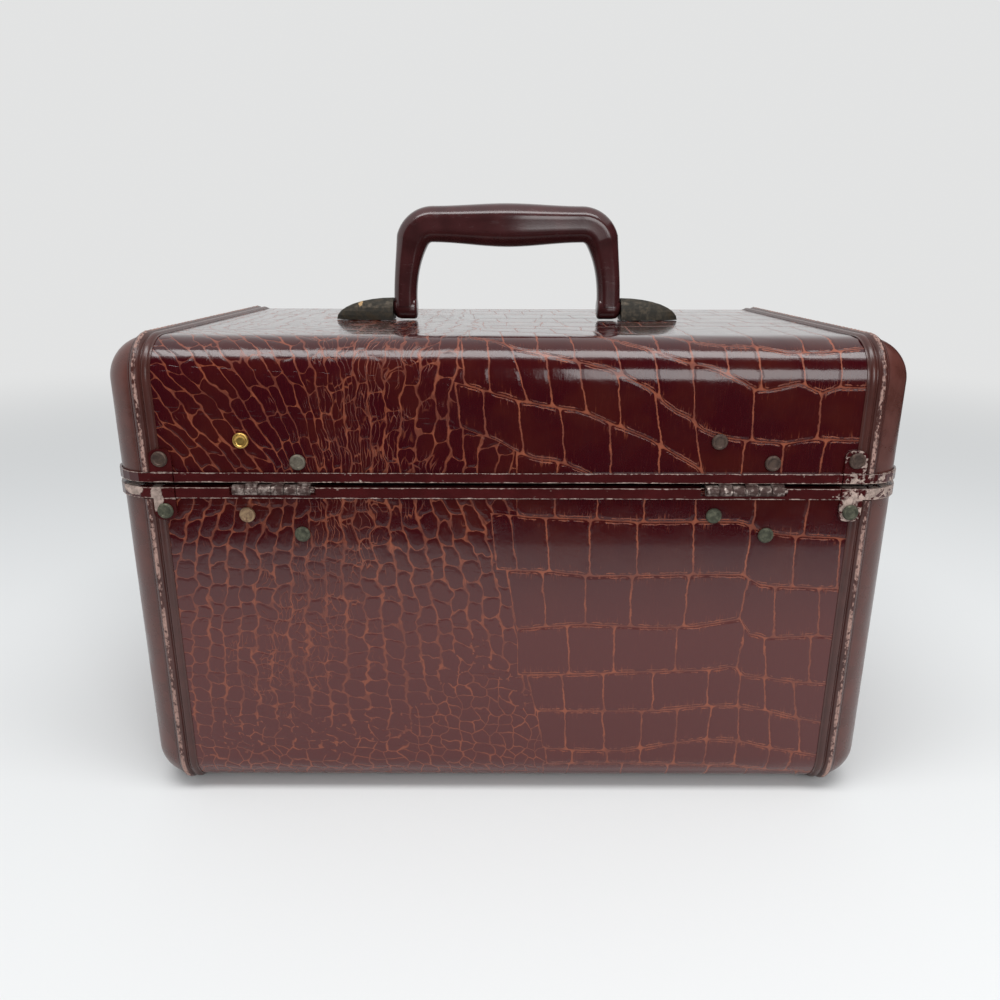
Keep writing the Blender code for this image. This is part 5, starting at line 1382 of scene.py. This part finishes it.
@dataclass
class GripHandle:
    """The moulded handle: arched grip, tapering legs and flared feet on their lugs."""

    width: float = 112.6 * MM
    rise: float = 49.3 * MM
    leg: float = 11.5 * MM
    leg_end: float = 16.0 * MM
    lean: float = 4.2 * MM
    corner: float = 10.5 * MM
    sag: float = 0.4 * MM
    grip_end: float = 16.9 * MM
    grip_middle: float = 20.3 * MM
    depth_share: float = 1.05
    middle_y: float = 2.15 * MM
    pivot_z: float = 213.7 * MM
    foot_radius: float = 5.6 * MM
    lug_radius: float = 3.0 * MM
    lug_end: float = 61.4 * MM
    sides: int = 48
    flat_power: float = 2.6
    deep_power: float = 2.3
    facet: float = 0.05
    foot_sides: int = 32
    leg_low: float = 3.0 * MM
    leg_sunk: float = 2.2 * MM

    def route(self) -> list[tuple[float, float, float, float]]:
        """Return the middle line of half of the handle.

        Returns:
            Each place's x, z above the pivots, thickness and direction, from the foot up.
        """
        foot = (self.width - self.leg) / 2
        low, top = self.leg_low, self.rise - self.grip_middle / 2 + self.sag
        tilt = math.atan2(2 * self.lean, top - self.corner - low)
        middle = (foot - self.lean - self.corner * math.cos(tilt), top - self.corner)
        high = middle[1] + self.corner * math.sin(tilt)
        places = []
        for share in np.linspace(-self.leg_sunk / (high - low), 1, 26, endpoint=False):
            bent = max(share, 0.0)
            places.append((foot - self.lean * bent ** 2, low + share * (high - low),
                           self.leg + bent ** 3 * (self.leg_end - self.leg)))
        for share in np.linspace(0, 1, 18, endpoint=False):
            angle = tilt + share * (math.pi / 2 - tilt)
            places.append((middle[0] + self.corner * math.cos(angle),
                           middle[1] + self.corner * math.sin(angle),
                           self.leg_end + share * (self.grip_end - self.leg_end)))
        for share in np.linspace(0, 1, 30):
            eased = share * share * (3 - 2 * share)
            places.append((middle[0] * (1 - share), top - self.sag * eased,
                           self.grip_end + eased * (self.grip_middle - self.grip_end)))
        points = np.array(places)
        ways = np.gradient(points[:, :2], axis=0)
        return [(x, z, thick, math.atan2(way[1], way[0])) for (x, z, thick), way in zip(places, ways)]

    def ring(self, x: float, z: float, thick: float, way: float, side: float) -> np.ndarray:
        """Return one section of the handle.

        Args:
            x: How far out its middle lies.
            z: How high its middle lies above the pivots.
            thick: How thick it is in the handle's plane.
            way: The direction of the middle line.
            side: Which half, 1 or -1.

        Returns:
            The points of the section.
        """
        angles = np.linspace(0, math.tau, self.sides, endpoint=False)
        cosine, sine = np.cos(angles), np.sin(angles)
        flat = np.sign(cosine) * np.abs(cosine) ** (2 / self.flat_power) * thick / 2
        deep = np.sign(sine) * np.abs(sine) ** (2 / self.deep_power) * thick / 2 * self.depth_share
        ridge = 1.0 - self.facet * np.cos(4 * angles) ** 2
        flat, deep = flat * (1.0 - self.facet + self.facet * ridge), deep * ridge
        out_x, out_z = math.sin(way), -math.cos(way)
        return np.stack([side * (x + flat * out_x), self.middle_y + deep, self.pivot_z + z + flat * out_z],
                        axis=-1)

    def build(self) -> bpy.types.Object:
        """Make the handle with its feet and lugs.

        Returns:
            The handle, which stands for the CAD's.
        """
        half = self.route()
        rings = [self.ring(*place, 1.0) for place in half]
        rings += [ring * (-1.0, 1.0, 1.0) for ring in reversed(rings[:-1])]
        arch = MeshShop.tube("handle_arch", np.array(rings), PALETTE.grip, turn=True)
        MeshShop.face_out(arch)
        parts = [arch, *(self.foot(side, direction) for side, direction in SIDES)]
        bpy.ops.object.select_all(action="DESELECT")
        for part in parts:
            part.select_set(True)
        bpy.context.view_layer.objects.active = arch
        bpy.ops.object.join()
        arch.name = "handle_moulded"
        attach(arch, "handle")
        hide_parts("handle")
        return arch

    def foot(self, side: str, direction: float) -> bpy.types.Object:
        """Make the flared foot and the lug that turns in the post.

        Args:
            side: Left or right.
            direction: -1 or 1.

        Returns:
            The foot.
        """
        outer, inner = self.width / 2, self.width / 2 - self.leg
        r, lug, end = self.foot_radius, self.lug_radius, self.lug_end
        profile = [(start + along * MM, radius + rise * MM) for start, along, radius, rise in (
            (inner, 0.1, 0.0, 0.2), (inner, 0.1, r, -1.4), (inner, 0.5, r, -0.5), (inner, 1.4, r, -0.02),
            (outer, -3.4, r, -0.02), (outer, -1.5, r, -0.5), (outer, -0.4, r, -1.5), (outer, 0.0, lug, 0.4),
            (outer, 0.3, lug, 0.0), (end, -0.5, lug, 0.0), (end, 0.0, lug, -0.5), (end, 0.0, 0.0, 0.2))]
        return MeshShop.lathe(f"handle_foot_{side}", [(direction * x, radius) for x, radius in profile],
                              (self.middle_y, self.pivot_z), 0, self.foot_sides, PALETTE.grip)


@dataclass
class DishedRivet:
    """One rivet: a turned head with a raised ring and a dished middle, its shank and its tail."""

    node: str
    finish: Finish
    head: float = 3.3 * MM
    shank: float = 1.5 * MM
    tail: float = 2.4 * MM
    thick: float = 1.1 * MM
    sides: int = 40
    dish: tuple[Point, ...] = ((0.42, 0.05), (0.46, 1.0), (0.50, 1.75), (0.34, 2.05), (0.06, 2.25),
                               (0.0, 2.5), (0.04, 2.75), (0.22, 3.02), (0.5, 3.2))

    def build(self) -> bpy.types.Object:
        """Make the rivet in place of the CAD's.

        Returns:
            The rivet.
        """
        places = np.array([tuple(corner.co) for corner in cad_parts[self.node].data.vertices])
        low, high = places.min(axis=0), places.max(axis=0)
        middle, top, bottom = tuple((low + high)[[0, 2]] / 2), high[1], low[1]
        seat, head, shank, tail = top - self.thick, self.head, self.shank, self.tail
        dish = [(top - down * MM, radius * MM) for down, radius in self.dish]
        profile = dish + [(seat + 0.15 * MM, head), (seat, head - 0.05 * MM), (seat, shank),
                          (bottom + 0.7 * MM, shank), (bottom + 0.7 * MM, tail), (bottom + 0.1 * MM, tail),
                          (bottom, tail - 0.2 * MM), (bottom, 0.05 * MM)]
        rivet = MeshShop.lathe(f"{self.node}_turned", profile, middle, 1, self.sides, self.finish)
        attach(rivet, self.node.split("_")[0])
        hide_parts(self.node)
        return rivet


@dataclass
class ClothBoard:
    """A cloth-covered board part: the lining of one half or the tray, with soft edges and a piped rim."""

    node: str
    body: str
    finish: Finish
    half: tuple[float, float]
    corner: float
    rim_z: float
    soft_edge: float = 0.7 * MM
    cord: float = 0.9 * MM
    cord_sides: int = 12
    edge_angle: float = 50.0
    middle_y: float = 2.15 * MM

    def build(self) -> list[bpy.types.Object]:
        """Make the covered board and its piping.

        Returns:
            Both pieces; the first stands for the CAD's soft solid.
        """
        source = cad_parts[self.node]
        board = linked(f"{self.node}_cloth", source.data.copy())
        board.data.materials.clear()
        board.data.materials.append(self.finish.material())
        shape = bmesh.new()
        shape.from_mesh(board.data)
        bmesh.ops.remove_doubles(shape, verts=shape.verts, dist=0.001 * MM)
        bmesh.ops.dissolve_limit(shape, angle_limit=math.radians(1), verts=shape.verts, edges=shape.edges)
        shape.to_mesh(board.data)
        shape.free()
        soft = board.modifiers.new("soft_edges", "BEVEL")
        soft.width = self.soft_edge
        soft.segments = 3
        soft.limit_method = "ANGLE"
        soft.angle_limit = math.radians(self.edge_angle)
        board.data.shade_smooth()
        board.data.set_sharp_from_angle(angle=math.radians(self.edge_angle))
        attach(board, self.body)
        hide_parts(self.node)
        self.node.split("_")[-1] if self.node != "tray" else "tray"
        return [board, self.piping()]

    def piping(self) -> bpy.types.Object:
        """Make the cord of piping along the rim.

        Returns:
            The piping.
        """
        corner, path = self.corner, []
        for quarter, (sx, sy) in enumerate(((1, 1), (-1, 1), (-1, -1), (1, -1))):
            for angle in np.linspace(quarter * math.pi / 2, (quarter + 1) * math.pi / 2, 9):
                path.append((sx * (self.half[0] - corner) + corner * math.cos(angle),
                             self.middle_y + sy * (self.half[1] - corner) + corner * math.sin(angle)))
        points = np.array(path)
        ways = np.roll(points, -1, axis=0) - np.roll(points, 1, axis=0)
        ways /= np.linalg.norm(ways, axis=1)[:, None]
        angles = np.linspace(0, math.tau, self.cord_sides, endpoint=False)
        out, up = self.cord * np.cos(angles), self.rim_z + self.cord * np.sin(angles)
        rings = [np.stack([x + out * way_y, y - out * way_x, up], axis=-1)
                 for (x, y), (way_x, way_y) in zip(points, ways)]
        cord = MeshShop.tube(f"{self.node}_piping", np.array(rings), PALETTE.piping, closed=True)
        MeshShop.face_out(cord)
        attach(cord, self.body)
        return cord


@dataclass
class CarriedNodes:
    """CAD nodes whose shape stays, and the finish that each one gets."""

    finishes: dict[str, Finish] = field(default_factory=lambda: {
        "base_rim": PALETTE.base_rim, "lid_rim": PALETTE.lid_rim, "handle_post": PALETTE.post,
        "tray_ledge": PALETTE.wood, "mirror_frame": PALETTE.lining, "mirror": PALETTE.glass,
        **dict.fromkeys(("base_leaf", "lid_leaf", "hinge_pin", "handle_backing", "handle_pin", "hasp_pin"),
                        PALETTE.steel),
        **dict.fromkeys(("lock_case", "thumb_slide", "key_barrel", "hasp"), PALETTE.brass),
    })
    rivets: dict[str, Finish] = field(default_factory=lambda: {
        "lid_hinge_rivet": PALETTE.grey_rivet, "lid_hinge_rivet_right_1": PALETTE.bright_brass,
        "lid_hinge_rivet_left_1": PALETTE.dark_rivet, "lid_hinge_rivet_left_2": PALETTE.dark_rivet,
        "base_hinge_rivet": PALETTE.green_rivet, "base_hinge_rivet_right_1": PALETTE.tan_rivet,
        "lid_tab_rivet": PALETTE.dark_rivet, "base_tab_rivet": PALETTE.green_rivet,
    })

    def turn_rivets(self) -> int:
        """Make every rivet anew, with its own tarnish.

        Returns:
            How many rivets were made.
        """
        names = [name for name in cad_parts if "_rivet" in name]
        for name in names:
            key = max((key for key in self.rivets if name.startswith(key)), key=len)
            DishedRivet(name, self.rivets[key]).build()
        return len(names)

    def dress(self) -> int:
        """Give each carried node its finish.

        Returns:
            How many nodes were dressed.
        """
        done = 0
        for name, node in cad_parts.items():
            fits = [key for key in self.finishes if name.startswith(key)]
            if fits:
                node.data.materials.clear()
                node.data.materials.append(self.finishes[max(fits, key=len)].material())
                done += 1
        return done


@dataclass
class Studio:
    """Floor, lights, flags and the photograph's camera."""

    backdrop: Colour = (0.765, 0.77, 0.77)
    floor_colour: Colour = (0.80, 0.81, 0.81)
    floor_radius: float = 30.0
    floor_fade: Point = (0.45, 1.6)
    room_colour: Colour = (0.96, 0.98, 1.0)
    room_strength: float = 0.56
    card_colour: Colour = (0.012, 0.011, 0.011)
    cards: dict[str, list[Place]] = field(default_factory=lambda: {
        "tall_flag": [(-0.05, 0.43, 0.0), (0.9, 0.43, 0.0), (0.9, 0.43, 0.75), (-0.05, 0.43, 0.75)],
        "low_flag": [(-0.9, 0.43, 0.0), (-0.05, 0.43, 0.0), (-0.05, 0.43, 0.21), (-0.9, 0.43, 0.21)],
        "ceiling_flag": [(-0.8, 0.45, 0.80), (0.8, 0.45, 0.80), (0.8, 0.75, 0.60), (-0.8, 0.75, 0.60)],
        "right_flag": [(-0.8, -0.9, 0.0), (-0.8, 0.7, 0.0), (-0.8, 0.7, 0.8), (-0.8, -0.9, 0.8)],
    })
    camera_place: Place = (0.00375, 0.4190, 0.2407)
    camera_pitch: float = 17.08
    camera_yaw: float = -0.0012
    camera_roll: float = 0.0030
    lens: float = 29.14

    def floor(self) -> bpy.types.Object:
        """Make the pale floor, which fades into the backdrop's colour."""
        bpy.ops.mesh.primitive_circle_add(vertices=96, radius=self.floor_radius, fill_type="NGON")
        floor = bpy.context.object
        floor.name = "studio_floor"
        material = bpy.data.materials.new("studio_floor")
        material.use_nodes = True
        nodes = material.node_tree.nodes
        nodes.remove(nodes["Principled BSDF"])
        w = Wires(material.node_tree)
        x, y, _ = w.split(w.spot())
        diffuse = w.fit(w.add("BsdfDiffuse"), Color=self.floor_colour)
        glow = w.fit(w.add("Emission"), Color=self.backdrop)
        self.crossfade(w, w.fade(w.far(x, y), *self.floor_fade), diffuse, glow, nodes["Material Output"])
        floor.data.materials.append(material)
        return floor

    def world(self) -> None:
        """Light the room evenly and show the backdrop's colour behind the case."""
        world = bpy.data.worlds.new("studio")
        bpy.context.scene.world = world
        world.use_nodes = True
        w, nodes = Wires(world.node_tree), world.node_tree.nodes
        shown = w.fit(nodes["Background"], Color=self.backdrop)
        light = w.fit(w.add("Background"), Color=self.room_colour, Strength=self.room_strength)
        path = w.add("LightPath").outputs
        camera, glossy, through = (Signal(w, path[f"Is {kind} Ray"])
                                   for kind in ("Camera", "Glossy", "Transmission"))
        self.crossfade(w, camera.most(glossy.most(through)), light, shown, nodes["World Output"])

    @staticmethod
    def crossfade(w: Wires, share: Signal, first: bpy.types.Node, second: bpy.types.Node,
                  end: bpy.types.Node) -> None:
        """Show a mixture of two shaders.

        Args:
            w: The wires to build with.
            share: How much of the second is shown.
            first: The first shader.
            second: The second shader.
            end: The output node.
        """
        mixed = w.add("MixShader")
        inputs = (share, Signal(w, first.outputs[0]), Signal(w, second.outputs[0]))
        for value, socket in zip(inputs, mixed.inputs):
            w.feed(value, socket)
        w.feed(Signal(w, mixed.outputs[0]), end.inputs[0])

    def lamp(self, name: str, place: Place, target: Place, size: Point, watts: float) -> None:
        """Add one soft rectangular lamp.

        Args:
            name: Its name.
            place: Where it stands.
            target: What it points at.
            size: Its width and height.
            watts: Its power.
        """
        data = bpy.data.lights.new(name, "AREA")
        data.shape = "RECTANGLE"
        data.size, data.size_y = size
        data.energy = watts
        lamp = linked(name, data)
        lamp.location = place
        lamp.rotation_euler = (Vector(target) - Vector(place)).to_track_quat("-Z", "Y").to_euler()

    def flag(self, name: str, corners: list[Place]) -> None:
        """Add a black card that only reflections show.

        Args:
            name: Its name.
            corners: Its four corners.
        """
        mesh = bpy.data.meshes.new(name)
        mesh.from_pydata(corners, [], [[0, 1, 2, 3]])
        card = linked(name, mesh)
        material = bpy.data.materials.new(name)
        material.use_nodes = True
        shader = material.node_tree.nodes["Principled BSDF"]
        Wires(material.node_tree).fit(shader, Base_Color=self.card_colour, Roughness=1.0,
                                      Specular_IOR_Level=0.0)
        mesh.materials.append(material)
        for rays in ("camera", "diffuse", "shadow", "transmission"):
            setattr(card, f"visible_{rays}", False)

    def camera(self) -> None:
        """Place the photograph's camera."""
        data = bpy.data.cameras.new("photo_camera")
        data.lens = self.lens
        data.sensor_width = 36.0
        camera = linked("photo_camera", data)
        camera.location = self.camera_place
        pitch = math.radians(self.camera_pitch)
        look = Vector((math.sin(self.camera_yaw) * math.cos(pitch), -math.cos(pitch), -math.sin(pitch)))
        camera.rotation_euler = look.to_track_quat("-Z", "Y").to_euler()
        camera.rotation_euler.rotate_axis("Z", self.camera_roll)
        bpy.context.scene.camera = camera

    def build(self) -> None:
        """Set up the whole studio."""
        bpy.context.scene.view_settings.view_transform = "Standard"
        self.floor()
        self.world()
        self.lamp("overhead_softbox", (0.0, 0.30, 1.0), (0.0, 0.05, 0.15), (1.1, 0.30), 6.5)
        self.lamp("side_window", (-0.42, 1.15, 0.62), (-0.10, 0.0, 0.16), (0.62, 0.62), 5.0)
        for name, corners in self.cards.items():
            self.flag(name, corners)
        self.camera()


def main() -> None:
    """Build every sub-assembly in order and report it."""
    logging.basicConfig(level=logging.INFO, format="%(name)s: %(message)s")
    Studio().build()
    carried = CarriedNodes()
    log.info("dressed %d carried nodes", carried.dress())
    log.info("turned %d rivets", carried.turn_rivets())
    for scales in (BASE_SCALES, LID_SCALES):
        log.info("made %s", EmbossedWrap(scales).build().name)
    for half in Half:
        for side, direction in SIDES:
            log.info("made %s", EndCover(half, side, direction).build().name)
            log.info("made %s", Binding(half, side, direction).build()[0].name)
    log.info("made %s", GripHandle().build().name)
    walls, tray = (157.6 * MM, 89.65 * MM), (154.2 * MM, 86.25 * MM)
    for board in (ClothBoard("base_lining", "base", PALETTE.lining, walls, 12 * MM, 142.0 * MM),
                  ClothBoard("lid_lining", "lid", PALETTE.lining, walls, 12 * MM, 153.4 * MM),
                  ClothBoard("tray", "tray", PALETTE.tray_cloth, tray, 10 * MM, 102.9 * MM)):
        log.info("made %s", board.build()[0].name)


if __name__ == "__main__":
    main()
